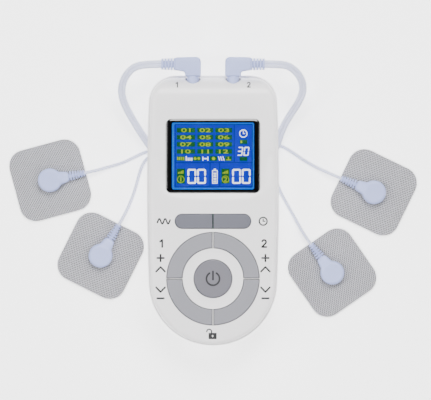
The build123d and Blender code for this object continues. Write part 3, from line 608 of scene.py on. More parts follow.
# ------------------------------------------------------------------ the case
def case_plan(count):
    """Plan of the case and its outward normals: two slow side arcs, a round bottom, two corner arcs and a
    straight jack end, each tangent to the next. Every point is its arc's centre plus radius times normal."""
    side_x = HALF_WIDTH - SIDE_RADIUS
    reach = WIDEST_Y + HALF_LENGTH
    bottom = (SIDE_RADIUS**2 - side_x**2 - reach**2) / (2 * (SIDE_RADIUS - reach))
    low_y = bottom - HALF_LENGTH
    high_y = HALF_LENGTH - CORNER_RADIUS
    high_x = math.sqrt((SIDE_RADIUS - CORNER_RADIUS) ** 2 - (high_y - WIDEST_Y) ** 2) + side_x
    low_angle = math.atan2(low_y - WIDEST_Y, -side_x)
    high_angle = math.atan2(high_y - WIDEST_Y, high_x - side_x)
    arcs = [
        ((0, low_y), bottom, -math.pi / 2, low_angle),
        ((side_x, WIDEST_Y), SIDE_RADIUS, low_angle, high_angle),
        ((high_x, high_y), CORNER_RADIUS, high_angle, math.pi / 2),
    ]
    points, normals = [], []
    for (x, y), radius, start, end in arcs:
        steps = max(6, round(count * radius * (end - start) / OUTLINE_LENGTH))
        angle = np.linspace(start, end, steps, endpoint=False)
        normal = np.stack([np.cos(angle), np.sin(angle)], axis=1)
        points.append(np.array([x, y]) + radius * normal)
        normals.append(normal)
    steps = round(count * high_x / OUTLINE_LENGTH)
    x = np.linspace(high_x, 0, steps, endpoint=False)
    points.append(np.stack([x, np.full(steps, HALF_LENGTH)], axis=1))
    normals.append(np.tile([0.0, 1.0], (steps, 1)))
    half, half_normal = np.vstack(points), np.vstack(normals)
    flip = np.array([-1, 1])
    end_point = np.array([[0, HALF_LENGTH]])
    whole = np.vstack([half, end_point, (half[1:] * flip)[::-1]])
    whole_normal = np.vstack([half_normal, [[0, 1]], (half_normal[1:] * flip)[::-1]])
    return whole, whole_normal


def dish(x, y):
    """Share of the dish's depth at a place on the face: 1 round the display and 0 outside, by a smooth step
    over a superellipse of the fourth power whose upper half is longer than its lower half."""
    up = y - DISH_Y
    half = np.where(up > 0, DISH_UP, DISH_DOWN)
    way = (np.abs(x / DISH_HALF_WIDTH) ** DISH_POWER + np.abs(up / half) ** DISH_POWER) ** (1 / DISH_POWER)
    return eased((1.0 - way) / np.where(up > 0, DISH_FADE_UP, DISH_FADE_DOWN))


def face_height(x, y, depth=1.2):
    """Height of the front face: flat, less the dish and a shallow parabolic groove round the power button,
    and rolled over to the jack end by a quarter cylinder."""
    start = HALF_LENGTH - RIM - END_ROUND
    over = np.clip(y - start, 0, END_ROUND)
    groove = np.clip(1 - ((np.hypot(x - RING[0], y - RING[1]) - RING_MID) / GROOVE_HALF) ** 2, 0, 1)
    roll = END_ROUND - np.sqrt(END_ROUND**2 - over**2)
    return FACE_Z - roll - depth * dish(x, y) - GROOVE_DEPTH * groove


def front_shell_skin(depth, edge):
    """The shell as rings: in from its outer edge over the face to a line down the middle, and the same way
    2 mm below, so that it is one closed skin. The edge is a quarter arc that gives way to the roll-over."""
    plan, normals = case_plan(300)
    outer = plan - normals * RIM
    line = np.stack([np.zeros(len(plan)), np.clip(outer[:, 1], SPINE_LOW, SPINE_HIGH)], axis=1)
    turn = np.linspace(0, math.pi / 2, 9)
    stack = []

    def level(flat, drop, under):
        """A ring that lies drop and under below the face, and never below the seam."""
        top = face_height(flat[:, 0], flat[:, 1], depth) - drop - under
        return raised(flat, np.maximum(top, SEAM_Z))

    inward = outer - normals * edge
    stack += [level(line + (inward - line) * s, 0, 0) for s in np.linspace(0, 1, 64, endpoint=False)]
    for angle in turn[::-1]:
        flat = outer - normals * edge * (1 - math.cos(angle))
        stack.append(level(flat, edge * (1 - math.sin(angle)), 0))
    brow = stack[-1][:, 2]
    stack += [raised(outer, brow + (SEAM_Z - brow) * share) for share in (0.35, 0.7, 1.0)]
    inside = outer - normals * WALL
    stack.append(raised(inside, SEAM_Z))
    roof = level(inside, edge * 0.5, WALL)
    stack.append(roof)
    stack += [level(line + (inside - line) * s, 0, WALL) for s in np.linspace(0.97, 0, 22)]
    return rings(stack)


def annular_sector(inner, outer, start, end, centre, steps=28):
    """Plan of a ring's sector between two angles: the outer arc, then the inner one back."""
    angle = np.linspace(start, end, steps)
    way = np.stack([np.cos(angle), np.sin(angle)], axis=1)
    return np.vstack([outer * way, inner * way[::-1]]) + centre


def make_front_shell(settings):
    """The front shell: its skin, less the openings for the lens, the keys and the jacks, each a plan carried
    through it. Four sunk spokes hold the ring between the ring keys and the power button."""
    points, faces = front_shell_skin(settings.dish_depth / MM, settings.edge_round / MM)
    shell = piece("front_shell_surface", points, faces, "shell_abs")

    def through(plan, depth):
        """Opens the shell over a plan, down to depth below the display's top."""
        cut(shell, piece("cutter", *prism(plan, LCD_TOP + 0.1 - depth, FACE_Z + 2), "shell_abs"))

    lens = LENS_HIGH - LENS_LOW + 0.3
    through(round_rectangle(lens[0], lens[1], 3.1, DISPLAY)[0], 4)
    pill = PILL_SIZE + 2 * KEY_GAP
    through(round_rectangle(*pill, pill[1] / 2 - 0.01, (0, PILL_Y), 16)[0], 3)
    through(circle_plan(POWER_RADIUS + KEY_GAP, 96) + RING, 3)
    low_radius, high_radius = RING_INNER - KEY_GAP, RING_OUTER + KEY_GAP
    for start in np.arange(4) * math.pi / 2:
        through(annular_sector(low_radius, high_radius, start, start + math.pi / 2, RING), 3)
    hole = circle_plan(JACK_HOLE, 48)
    for side in SIDES.values():
        mouth = [np.column_stack([side * JACK_X + hole[:, 0], np.full(48, y), JACK_Z + hole[:, 1]])
                 for y in (HALF_LENGTH - 8, HALF_LENGTH + 4)]
        cut(shell, piece("cutter", *rings(mouth, cap_ends=True), "shell_abs"))
    shell.data.shade_smooth()
    shell.data.set_sharp_from_angle(angle=math.radians(32))
    shell.data.materials.clear()
    shell.data.materials.append(MATERIALS["shell_abs"])
    bar = rectangle(low_radius - 0.2, high_radius + 0.2, -SPOKE_WIDTH / 2, SPOKE_WIDTH / 2)
    spokes = [prism(turned(bar, 90 * turn, (0, 0)) + RING, FACE_Z - WALL, FACE_Z - SPOKE_DROP)
              for turn in range(4)]
    links = joined("front_shell_spokes", spokes, "shell_abs")
    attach(links, "case")
    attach(shell, "case")
    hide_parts("front_shell")


def finish_cad(names, material):
    """Gives CAD nodes that show as they are their real finish."""
    for name in names:
        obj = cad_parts[name]
        obj.data.materials.clear()
        obj.data.materials.append(MATERIALS[material])


# ------------------------------------------------------------------ marks on the case
def ribbon(path, width, height, lift=INK_LIFT):
    """A printed stroke: a strip of a width along a plan path, its ends narrowed as half circles, laid on the
    height function. Each row is left and right of the path on top, and the same below."""
    run = unit(np.gradient(path, axis=0))
    side = np.stack([-run[:, 1], run[:, 0]], axis=1)
    cap = np.linspace(math.pi / 2, 0, 5)[1:, None]
    reach = np.cos(cap) * width / 2
    line = np.vstack([path[0] - run[0] * reach[::-1], path, path[-1] + run[-1] * reach])
    sides = np.vstack([np.tile(side[0], (4, 1)), side, np.tile(side[-1], (4, 1))])
    half = np.vstack([np.sin(cap[::-1]), np.ones((len(path), 1)), np.sin(cap)]) * width / 2
    half = np.maximum(half, 0.01)
    left, right = line + sides * half, line - sides * half
    strips = [raised(flat, height(flat[:, 0], flat[:, 1]) + offset)
              for flat, offset in ((left, lift), (right, lift), (right, -INK_SINK), (left, -INK_SINK))]
    return rings(np.stack(strips, axis=1), cap_ends=True)


def straight(a, b, steps=6):
    """Points along a straight stroke."""
    a, b = np.asarray(a, float), np.asarray(b, float)
    return a + (b - a) * np.linspace(0, 1, steps)[:, None]


def arc(centre, radius, start, end, steps=40):
    """Arc between two angles in degrees: the centre plus radius times cosine and sine."""
    angle = np.radians(np.linspace(start, end, steps))
    return np.asarray(centre, float) + radius * np.stack([np.cos(angle), np.sin(angle)], axis=1)


def digit_path(number, centre, height):
    """Strokes of a plain numeral 1 or 2."""
    x, y = centre
    h = height / 2
    if number == 1:
        top = (x + 0.1 * h, y + h)
        return [straight((x + 0.1 * h, y - h), top), straight((x - 0.5 * h, y + 0.55 * h), top)]
    bow = arc((x, y + 0.42 * h), 0.55 * h, 160, -35, 20)
    foot = (x - 0.58 * h, y - h)
    return [np.vstack([bow, straight(bow[-1], foot, 6)[1:]]), straight(foot, (x + 0.62 * h, y - h))]


def channel_marks(side, number):
    """Strokes beside one channel's keys, from the top: its number, a plus, an arrow up, an arrow down and a
    minus; and its number again by the jack."""
    x = side * 28.1
    strokes = [(path, 0.95) for path in digit_path(number, (side * 27.4, -17.6), 3.8)]
    strokes.append((straight((x - 1.75, -25.4), (x + 1.75, -25.4)), 1.0))
    strokes.append((straight((x, -27.15), (x, -23.65)), 1.0))
    strokes.append((straight((x - 1.75, -47.0), (x + 1.75, -47.0)), 1.0))
    for y, way in ((-31.5, 1), (-42.3, -1)):
        tip, foot = (x, y + way * 1.3), y - way * 1.15
        strokes.append((straight((x - 2.35, foot), tip), 0.95))
        strokes.append((straight(tip, (x + 2.35, foot)), 0.95))
    return strokes + [(path, 0.6) for path in digit_path(number, (side * 19.2, 67.6), 2.6)]


def printed_band(outer, inner):
    """Ink between two plans on the face: up the outer one, across, and down the inner one."""
    loop = ((outer, -INK_SINK), (outer, INK_LIFT), (inner, INK_LIFT), (inner, -INK_SINK), (outer, -INK_SINK))
    return rings([raised(flat, face_height(flat[:, 0], flat[:, 1]) + z) for flat, z in loop])


def make_marks():
    """Plain symbols in ink: each channel's marks, a sine wave and a clock at the pill keys, an open padlock
    and the power sign, which rides on its button. Neighbouring strokes stand out by slightly different lifts,
    so that none lies in another's face."""
    clock, lock = np.array([26.9, PILL_Y]), (-0.2, -67.2)
    wave = np.linspace(-3.4, 3.4, 60)
    strokes = channel_marks(-1, 1) + channel_marks(1, 2)
    strokes.append((np.stack([wave - 26.4, PILL_Y + 1.35 * np.sin(wave * 2.0)], axis=1), 0.85))
    strokes.append((straight(clock + [0, 1.2], clock), 0.6))
    strokes.append((straight(clock, clock + [1.0, 0]), 0.6))
    shackle = [straight((-0.75, -65.7), (-0.75, -64.9), 3), arc((-2.05, -64.9), 1.3, 0, 180, 20)]
    strokes.append((np.vstack(shackle), 0.7))
    parts = [ribbon(path, width, face_height, INK_LIFT + 0.006 * (i % 4))
             for i, (path, width) in enumerate(strokes)]
    body, key_hole = round_rectangle(4.4, 3.4, 0.4, lock, 4)[0], round_rectangle(0.7, 1.1, 0.34, lock, 4)[0]
    parts.append(printed_band(body, key_hole))
    parts.append(printed_band(circle_plan(2.48, 48) + clock, circle_plan(1.72, 48) + clock))
    marks = joined("case_marks", parts, "ink")
    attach(marks, "case")

    def button_top(x, y):
        return np.full(np.shape(x), corner("power_button", 1)[2])

    sign = [
        ribbon(arc(RING, 3.5, 122, 418, 60), 0.95, button_top),
        ribbon(straight(RING + [0, -0.4], RING + [0, 3.9]), 0.95, button_top, 0.04),
    ]
    power = joined("power_sign", sign, "ink")
    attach(power, "power_button")


# ------------------------------------------------------------------ display
# Which of the seven bars are lit: a nought and a three are all that the display shows
FIGURES = {0: "1110111", 3: "1011011"}
BAR_HALF = 0.095


def seven_segments(x0, x1, y0, y1, figure, lean=0.0):
    """Bars of one figure as pointed strips. The seven are, in turn, top, upper left, upper right, middle,
    lower left, lower right and bottom. A bar's half width is BAR_HALF of the figure's width, and each point
    moves right by lean times its height above the foot."""
    half, mid = BAR_HALF * (x1 - x0), (y0 + y1) / 2
    left, right, low, high = x0 + half, x1 - half, y0 + half, y1 - half
    spans = [
        ((x0, high), (x1, high)), ((left, mid), (left, y1)), ((right, mid), (right, y1)),
        ((x0, mid), (x1, mid)), ((left, y0), (left, mid)), ((right, y0), (right, mid)),
        ((x0, low), (x1, low)),
    ]
    plans = []
    for on, span in zip(FIGURES[figure], np.array(spans)):
        if on == "0":
            continue
        run = unit(span[1] - span[0])
        side, tip = np.array([-run[1], run[0]]) * half, run * half * 0.9
        a, b = span[0] + run * half * 0.52, span[1] - run * half * 0.52
        plan = np.array([a, a + tip - side, b - tip - side, b, b - tip + side, a + tip + side])
        plan[:, 0] += lean * (plan[:, 1] - y0)
        plans.append(plan)
    return plans


def hoop(centre, outer, inner, low, high, steps=48):
    """A flat ring: a rectangle from inner to outer radius carried round a circle."""
    circle = circle_plan(1.0, steps)
    loop = ((outer, low), (outer, high), (inner, high), (inner, low), (outer, low))
    return rings([raised(centre + circle * radius, z) for radius, z in loop])


def legend(text, centre, height, top, stretch=1.0):
    """A plain number in the built-in face: its filled outline as a thin plate, widened and then placed."""
    curve = bpy.data.curves.new("legend", "FONT")
    curve.body, curve.size, curve.resolution_u = text, height * 1.4, 4
    curve.extrude, curve.offset = LIT / 2, 0.012 * height
    points, faces = evaluated(curve)
    points[:, :2] -= (points[:, :2].max(axis=0) + points[:, :2].min(axis=0)) / 2
    points[:, 0] *= stretch
    return points + [*centre, top], faces


def make_lens():
    """Lens: a bevelled frame for its printed border, with the clear window inside it; and the display's
    glass below."""
    width, length = (LENS_HIGH - LENS_LOW)[:2] - 0.1
    low, high, edge = LENS_LOW[2], LENS_HIGH[2], 0.3
    outer, normals = round_rectangle(width, length, 3.0, DISPLAY, 12)
    inner = round_rectangle(44.1, 35.9, 0.9, DISPLAY, 12)[0]
    loop = [(outer, low), (outer, high - edge), (outer - normals * edge * 0.3, high - edge * 0.3),
            (outer - normals * edge, high), (inner, high), (inner, low), (outer, low)]
    border = piece("lens_border", *rings([raised(flat, z) for flat, z in loop]), "printed_border")
    window = piece("lens_window", *prism(inner, low, high), "acrylic")
    for obj in (border, window):
        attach(obj, "case")
    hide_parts("display_lens")

    lcd_low, lcd_high = corner("lcd_panel", 0), corner("lcd_panel", 1)
    plan, normals = round_rectangle(*(lcd_high - lcd_low)[:2], 0.6, DISPLAY, 12)
    glass = piece("lcd_glass", *plate(plan, lcd_low[2], GLASS_TOP, 0.1, 0.1, normals), "lcd_glass")
    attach(glass, "case")
    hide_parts("lcd_panel")


def lit_field(name, parts, material):
    """One lit layer of the display, on the case."""
    obj = joined(name, parts, material)
    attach(obj, "case")


def layer(plans, rise):
    """Thin plates over plans measured from the display's middle; rise is their top above the glass."""
    return [prism(plan + DISPLAY, GLASS_TOP + rise - LIT, GLASS_TOP + rise) for plan in plans]


def frame_lines():
    """Lines round the field, across it, beside the clock and at both sides of the battery sign."""
    top = FRAME_HIGH + FRAME_LINE
    lines = [rectangle(FRAME_LEFT, FRAME_RIGHT, y, y + FRAME_LINE)
             for y in (FRAME_LOW, FRAME_MIDDLE, FRAME_HIGH)]
    lines += [rectangle(x, x + FRAME_LINE, FRAME_LOW, top) for x in (FRAME_LEFT, FRAME_RIGHT)]
    lines.append(rectangle(11.2, 11.2 + FRAME_LINE, FRAME_MIDDLE, FRAME_HIGH))
    return lines + [rectangle(x, x + FRAME_LINE, FRAME_LOW, FRAME_MIDDLE) for x in (-1.8, 3.4)]


def green_blocks():
    """Blocks behind the twelve numbers, the channel signs, the clock's signs and the row of wave signs."""
    blocks = [rectangle(*column, *row) for row in ROWS for column in COLUMNS]
    blocks += [rectangle(x, x + 4.4, -14.8, -6.7) for x in (-19.5, 4.5)]
    blocks += [rectangle(14.3, 18.4, 6.5, 8.8), rectangle(14.3, 18.4, -2.6, -0.4)]
    widths = {-19.5: 4.4, -10.7: 4.2, -1.7: 4.0, 6.4: 3.8}
    return blocks + [rectangle(x, x + width, -2.6, 0.0) for x, width in widths.items()]


def white_signs():
    """Two figures for each channel, the minutes, three wave signs, the battery sign and the clock's hands."""
    signs = []
    for x in (-13.7, -8.5, 10.3, 15.5):
        signs += seven_segments(x, x + 4.7, -14.9, -6.9, 0)
    signs += seven_segments(13.0, 15.7, 0.2, 4.9, 3, 0.13) + seven_segments(16.3, 19.0, 0.2, 4.9, 0, 0.13)
    signs += [rectangle(x, x + 0.5, -2.4, -0.9) for x in (-13.6, -12.6, -11.6)]
    signs.append(rectangle(-14.6, -14.1, -2.4, -0.1))
    signs += [rectangle(x, x + 0.5, -2.4, -0.3) for x in (-5.7, -3.0)]
    signs.append(rectangle(-5.2, -3.0, -1.6, -1.1))
    slant = np.array([(0.7, -2.4), (1.1, -2.4), (0.4, -0.2), (0.0, -0.2)])
    signs += [slant + [x, 0] for x in (2.7, 3.9, 5.1)]
    signs += [rectangle(-0.4, 2.4, y, y + 0.35) for y in (-14.8, -8.0)]
    signs += [rectangle(x, x + 0.35, -14.7, -7.6) for x in (-0.45, 2.1)]
    signs += [rectangle(0.3, 1.7, y, y + 0.9) for y in (-14.1, -12.7, -11.3, -9.9)]
    signs.append(rectangle(0.4, 1.6, -7.5, -6.8))
    return signs + [rectangle(16.15, 16.45, 12.1, 13.5), rectangle(16.15, 17.3, 11.95, 12.25)]


def yellow_signs():
    """Plates of the yellow legends: level bars by the channel signs, and signs on the green blocks."""
    marks = []
    for x, _ in CHANNEL_SIGNS.values():
        marks += [rectangle(x - 1.5 + 0.8 * i, x - 1.0 + 0.8 * i, -9.4, -8.7 + 0.35 * i) for i in range(4)]
    marks += [rectangle(-19.2 + 1.05 * i, -18.6 + 1.05 * i, -2.1, -0.5) for i in range(4)]
    marks += [circle_plan(radius, 48) + [x, -1.3] for radius, x in ((0.75, -9.6), (0.75, -7.6), (0.9, 0.3))]
    marks += [rectangle(14.8, 15.6, 7.0, 8.3), rectangle(7.0, 9.6, -2.2, -1.8)]
    return marks + [rectangle(8.0, 8.6, -2.2, -0.4)]


def make_display():
    """Lens, glass and the lit layers of the display, each a little above the one before."""
    make_lens()
    lit_field("lcd_border", layer([round_rectangle(44.6, 36.4, 0.9)[0]], 0.015), "lcd_border")
    lit_field("lcd_field", layer([round_rectangle(42.2, 34.2, 0.8, (0.2, 0.1))[0]], 0.03), "lcd_field")
    lit_field("lcd_lines", layer(frame_lines(), 0.06), "lcd_line")
    lit_field("lcd_blocks", layer(green_blocks(), 0.09), "lcd_block")
    lit_field("lcd_whites", layer(white_signs(), 0.12), "lcd_white")
    lit_field("lcd_dial", [hoop(DISPLAY + DIAL, 2.2, 1.75, GLASS_TOP + 0.09, GLASS_TOP + 0.12)], "lcd_white")

    middle_z = GLASS_TOP + 0.13
    centres = [DISPLAY + [sum(column) / 2, sum(row) / 2] for row in ROWS for column in COLUMNS]
    parts = [legend(f"{number:02d}", centre, 2.05, middle_z, 2.2) for number, centre in enumerate(centres, 1)]
    for figure, place in CHANNEL_SIGNS.items():
        parts.append(legend(figure, DISPLAY + place, 2.4, middle_z, 1.3))
        parts.append(hoop(DISPLAY + place, 1.95, 1.65, middle_z - LIT / 2, middle_z + LIT / 2))
    lit_field("lcd_legends", parts + layer(yellow_signs(), 0.13 + LIT / 2), "lcd_legend")


# ------------------------------------------------------------------ cords
def smooth_line(route):
    """Points along the third-order NURBS line whose control points are the route's, in millimetres."""
    curve = bpy.data.curves.new("line", "CURVE")
    curve.dimensions, curve.resolution_u = "3D", 10
    spline = curve.splines.new("NURBS")
    spline.points.add(len(route) - 1)
    spline.points.foreach_set("co", np.column_stack([np.array(route) * MM, np.ones(len(route))]).ravel())
    spline.order_u = 3
    spline.use_endpoint_u = True
    return evaluated(curve)[0] / MM


def swept(line, section):
    """A section carried along a line with its first axis kept level: each ring is the line's point plus
    section x along the level side and section y along the side's cross with the run. Ends are capped."""
    run = unit(np.gradient(line, axis=0))
    side = unit(np.cross([0, 0, 1], run))
    up = np.cross(run, side)
    level, rise = section[None, :, 0, None], section[None, :, 1, None]
    stack = line[:, None, :] + level * side[:, None, :] + rise * up[:, None, :]
    return rings(stack, cap_ends=True)


def figure_eight(radius, offset, steps=14):
    """Section of a twin cord: two circles side by side that meet in a shallow web."""
    waist = math.acos(offset / radius)
    angle = np.linspace(-(math.pi - waist), math.pi - waist, steps)
    right = np.stack([offset + radius * np.cos(angle), radius * np.sin(angle)], axis=1)
    return np.vstack([right[:-1], -right[:-1]])


def split_frame(channel):
    """The Y-split's start, its heading and the direction to its left."""
    before, end = (np.array(p) for p in TRUNK_ROUTES[channel][-2:])
    heading = unit(end - before)
    return end, heading, np.array([-heading[1], heading[0], 0])


def lead_route(name):
    """A lead's route: straight out of the split, through its own points, and straight into the connector."""
    channel, _, arm = ELECTRODES[name]
    end, heading, left = split_frame(channel)
    split_side, inner = LEAD_ROUTES[name]
    start = end + heading * SPLIT_LENGTH + left * split_side * LEAD_SPREAD
    along = np.array([math.cos(math.radians(arm)), math.sin(math.radians(arm)), 0])
    tail = np.array([*middle(f"snap_socket_{name}")[:2], TAIL_Z]) + along * TAIL_END
    return [start, start + heading * LEAD_OUT, *map(np.array, inner), tail + along * LEAD_IN, tail]


def make_trunks(settings):
    """Twin cords from the plugs to the splits: a figure-eight section swept along each trunk's route."""
    radius, offset = settings.core_radius / MM, settings.core_offset / MM
    section = figure_eight(radius, offset)
    for channel in SIDES:
        line = smooth_line(TRUNK_ROUTES[channel])
        cord = piece(f"trunk_cord_{channel}_surface", *swept(line, section), "cord_pvc", 60)
        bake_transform(cord)
        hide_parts(f"trunk_cord_{channel}")


def make_leads(settings):
    """Single leads from the splits to the snap connectors: a circle swept along each lead's route."""
    radius = settings.lead_radius / MM
    for name in ELECTRODES:
        line = smooth_line(lead_route(name))
        cord = piece(f"lead_{name}_surface", *swept(line, circle_plan(radius)), "cord_pvc", 60)
        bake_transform(cord)
        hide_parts(f"lead_{name}")


# ------------------------------------------------------------------ plugs, splits and snap connectors
def superellipse(power=4.0, steps=40):
    """Unit section whose sides bulge: cos and sin raised to 2 / power, with their signs."""
    angle = np.linspace(0, 2 * math.pi, steps, endpoint=False)
    c, s = np.cos(angle), np.sin(angle)
    return np.stack([np.sign(c) * np.abs(c) ** (2 / power), np.sign(s) * np.abs(s) ** (2 / power)], axis=1)


def stations(places, wide, thick, make, power=4.0):
    """Sections of changing half width and half thickness at places along an axis; make turns each section
    and its place into points."""
    section = superellipse(power)
    return rings([make(at, section * [w, t]) for at, w, t in zip(places, wide, thick)], cap_ends=True)


def make_plugs():
    """Right-angle plugs. The body's plan is an elbow with a round outer corner and a fillet inside it; the
    arm narrows to a strain relief of rings on a slim core, and a round neck fills the jack. Plug 1 is plug 2
    with x turned to -x."""
    ring_pitch = (RELIEF_END - RELIEF_START) / RELIEF_RINGS
    neck = circle_plan(PLUG_NECK_RADIUS, 48)
    for channel, side in SIDES.items():
        axis_y, top = TRUNK_ROUTES[channel][0][1], corner(f"plug_{channel}_body", 1)[1]
        arm_low, inner_x = axis_y - PLUG_ARM_DROP, JACK_X + PLUG_LEG
        plan = np.vstack([
            [(JACK_X - PLUG_LEG, PLUG_LOW), (inner_x, PLUG_LOW), (inner_x, arm_low - PLUG_FILLET)],
            arc((inner_x + PLUG_FILLET, arm_low - PLUG_FILLET), PLUG_FILLET, 180, 90, 8)[1:],
            [(PLUG_ARM_END, arm_low + 0.6), (PLUG_ARM_END, top - 0.25)],
            arc((JACK_X - PLUG_LEG + PLUG_CORNER, top - PLUG_CORNER), PLUG_CORNER, 90, 180, 10),
        ])
        plan = spread_along(softened(plan, 1.15), 0.5)
        face = JACK_Z + PLUG_HALF_THICK
        parts = [plate(plan, JACK_Z - PLUG_HALF_THICK, face, PLUG_EDGE, PLUG_EDGE)]
        # Raised line left by the mould along the arm
        seam = round_rectangle(9.4, 0.24, 0.11, (16.1, axis_y + 0.5), 3)[0]
        parts.append(prism(seam, face - 0.1, face + 0.07))
        sizes = {PLUG_NECK_START: 0.92, PLUG_NECK_START + 0.3: 1.0, PLUG_LOW + 0.8: 1.0, PLUG_LOW + 1.6: 0.95}
        necks = [np.column_stack([JACK_X + neck[:, 0] * size, np.full(48, y), JACK_Z + neck[:, 1] * size])
                 for y, size in sizes.items()]
        parts.append(rings(necks, cap_ends=True))

        def across(at, section):
            """A section of the arm at one place along it."""
            along = np.full(len(section), at)
            return np.column_stack([along, axis_y + section[:, 0], JACK_Z + section[:, 1]])

        # Arm's end, then the rings: half width steps down from ring to ring, and the core shows between them
        places, wide = [19.6, 20.9, RELIEF_START], [3.3, 3.25, 3.1]
        for i in range(RELIEF_RINGS):
            start, size = RELIEF_START + ring_pitch * i, 3.2 - 0.05 * i
            end = start + ring_pitch
            places += [start + 0.02, start + 0.5, start + 0.52, start + 0.64, end - 0.12, end]
            wide += [RELIEF_CORE, RELIEF_CORE, size - 0.12, size, size, size - 0.12]
        parts.append(stations(places, wide, [w * 0.98 for w in wide], across, 3.4))
        placed = [(points * [side, 1, 1], faces) for points, faces in parts]
        plug = joined(f"plug_{channel}_surface", placed, "plug_pvc", 40)
        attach(plug, f"plug_{channel}")
        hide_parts(f"plug_{channel}_body")


def make_splits():
    """Moulded Y-splits: sections from one oval for the twin cord to a wider one for the two leads."""
    for channel in SIDES:
        end, heading, left = split_frame(channel)
        places = [0.0, 0.35, 1.2, 4.0, 6.8, 7.6, SPLIT_LENGTH]
        wide = [1.9, 2.25, 2.35, 2.5, 2.65, 2.55, 2.2]
        thick = [1.2, 1.5, 1.58, 1.58, 1.5, 1.35, 1.1]

        def across(at, section):
            """A section of the split at one place along it."""
            return end + heading * at + section[:, :1] * left + section[:, 1:] * [[0, 0, 1]]

        surface = stations(places, wide, thick, across, 3.0)
        split = piece(f"y_split_{channel}_surface", *surface, "plug_pvc", 50)
        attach(split, "case")
        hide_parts(f"y_split_{channel}")


def snap_plan():
    """Plan of a snap housing with its arm, anticlockwise: the round of the housing, a fillet into each side
    of the arm, and the arm's square end. A fillet's centre lies a radius and a fillet from the housing's."""
    reach, centre_y = SNAP_RADIUS + SNAP_FILLET, SNAP_ROOT + SNAP_FILLET + 0.1
    centre_x = math.sqrt(reach**2 - centre_y**2)
    meet = math.degrees(math.atan2(centre_y, centre_x))
    plan = np.vstack([
        arc((0, 0), SNAP_RADIUS, meet, 360 - meet, 72),
        arc((centre_x, -centre_y), SNAP_FILLET, 180 - meet, 90, 8)[1:],
        [(SNAP_ARM_END, -SNAP_TIP), (SNAP_ARM_END, SNAP_TIP)],
        arc((centre_x, centre_y), SNAP_FILLET, 270, 180 + meet, 8)[:-1],
    ])
    return spread_along(softened(plan, 1.9), 0.55)


def snap_housing(low, high):
    """Housing and arm about the stud's axis. The top falls from the housing to the arm by a smooth step along
    the arm, and a shallow bowl with a smooth rim is pressed into it."""
    plan = snap_plan()
    spine = np.stack([np.clip(plan[:, 0], 0, SNAP_ARM_END - 2.5), np.zeros(len(plan))], axis=1)
    points, faces = pillow(plan, spine, low, high, 0.4, 1.7, 12)
    top = high + (low + SNAP_ARM_RISE - high) * eased((points[:, 0] - 4.2) / 4.6)
    share = (points[:, 2] - low) / (high - low)
    bowl = eased(1 - np.hypot(points[:, 0], points[:, 1]) / 5.2)
    points[:, 2] = low + share * (top - low) - 0.25 * (share > 0.99) * bowl
    return points, faces


def snap_tail(middle_z):
    """Ribbed tail along the arm's axis: ribs that grow narrower towards the lead, on a slim core."""
    core_wide, core_thick = TAIL_CORE
    places, wide, thick = [SNAP_ARM_END - 0.8], [2.3], [1.4]
    pitch = (TAIL_END - TAIL_START) / TAIL_RIBS
    for i in range(TAIL_RIBS):
        start, size = TAIL_START + pitch * i, 2.6 - 0.19 * i
        end = start + pitch
        places += [start, start + 0.6, start + 0.62, start + 0.74, end - 0.1, end]
        wide += [core_wide, core_wide, size - 0.1, size, size, size - 0.1]
        thick += [core_thick, core_thick, TAIL_HALF_THICK - 0.1, TAIL_HALF_THICK, TAIL_HALF_THICK,
                  TAIL_HALF_THICK - 0.1]

    def across(at, section):
        """A section of the tail at one place along it."""
        return np.column_stack([np.full(len(section), at), section[:, 0], middle_z + section[:, 1]])

    return stations(places, wide, thick, across, 3.2)


def make_snap_connectors():
    """Snap connectors, each a housing and a tail turned to its lead's heading and set on its stud."""
    low, high = corner("snap_connector_1a", 0)[2], corner("snap_connector_1a", 1)[2]
    parts = [snap_housing(low, high), snap_tail(low + 1.6)]
    for name, (_, _, heading) in ELECTRODES.items():
        centre = middle(f"snap_socket_{name}")
        placed = [(turned(points, heading, centre), faces) for points, faces in parts]
        snap = joined(f"snap_connector_{name}_surface", placed, "plug_pvc", 40)
        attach(snap, f"snap_connector_{name}")
        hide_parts(f"snap_connector_{name}")


# ------------------------------------------------------------------ electrodes
def make_pads():
    """Electrodes in three layers, each a plate of rings from its edge to its middle with quarter-arc edges.
    The UV map counts in metres along the pad's own sides. Film and gel are set in from the fabric."""
    layers = {
        "fabric": ("fabric", 0.12, 0.0), "film": ("carbon_film", 0.05, 0.15), "gel": ("hydrogel", 0.25, 0.5),
    }
    for name, (_, turn, _) in ELECTRODES.items():
        centre = middle(f"snap_socket_{name}")
        for layer_name, (material, edge, inset) in layers.items():
            node = f"pad_{name}_{layer_name}"
            side, low, high = PAD_SIDE - 2 * inset, corner(node, 0)[2], corner(node, 1)[2]
            plan = spread_along(round_rectangle(side, side, PAD_CORNER - inset, (0, 0), 14)[0], 1.2)
            points, faces = pillow(plan, np.zeros_like(plan), low, high, edge, edge, 20)
            obj = piece(f"{node}_surface", turned(points, turn, centre), faces, material, 50, points[:, :2])
            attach(obj, f"pad_{name}")
            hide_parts(node)


# ------------------------------------------------------------------ stage
# In metres and watts
FLOOR_HALF, FLOOR_Z = 3.0, -5e-5
SOFTBOX = 0.7
LAMPS = {
    "back": ((0.1, 0.85, 1.35), 34.0),
    "front": ((0.0, -0.9, 1.3), 13.0),
    "left": ((-0.95, 0.1, 1.3), 21.0),
    "right": ((0.95, 0.0, 1.3), 14.0),
}
CAMERA_PLACE = (1.35 * MM, 5.7 * MM, 1.4)
LENS_LENGTH = 213.0


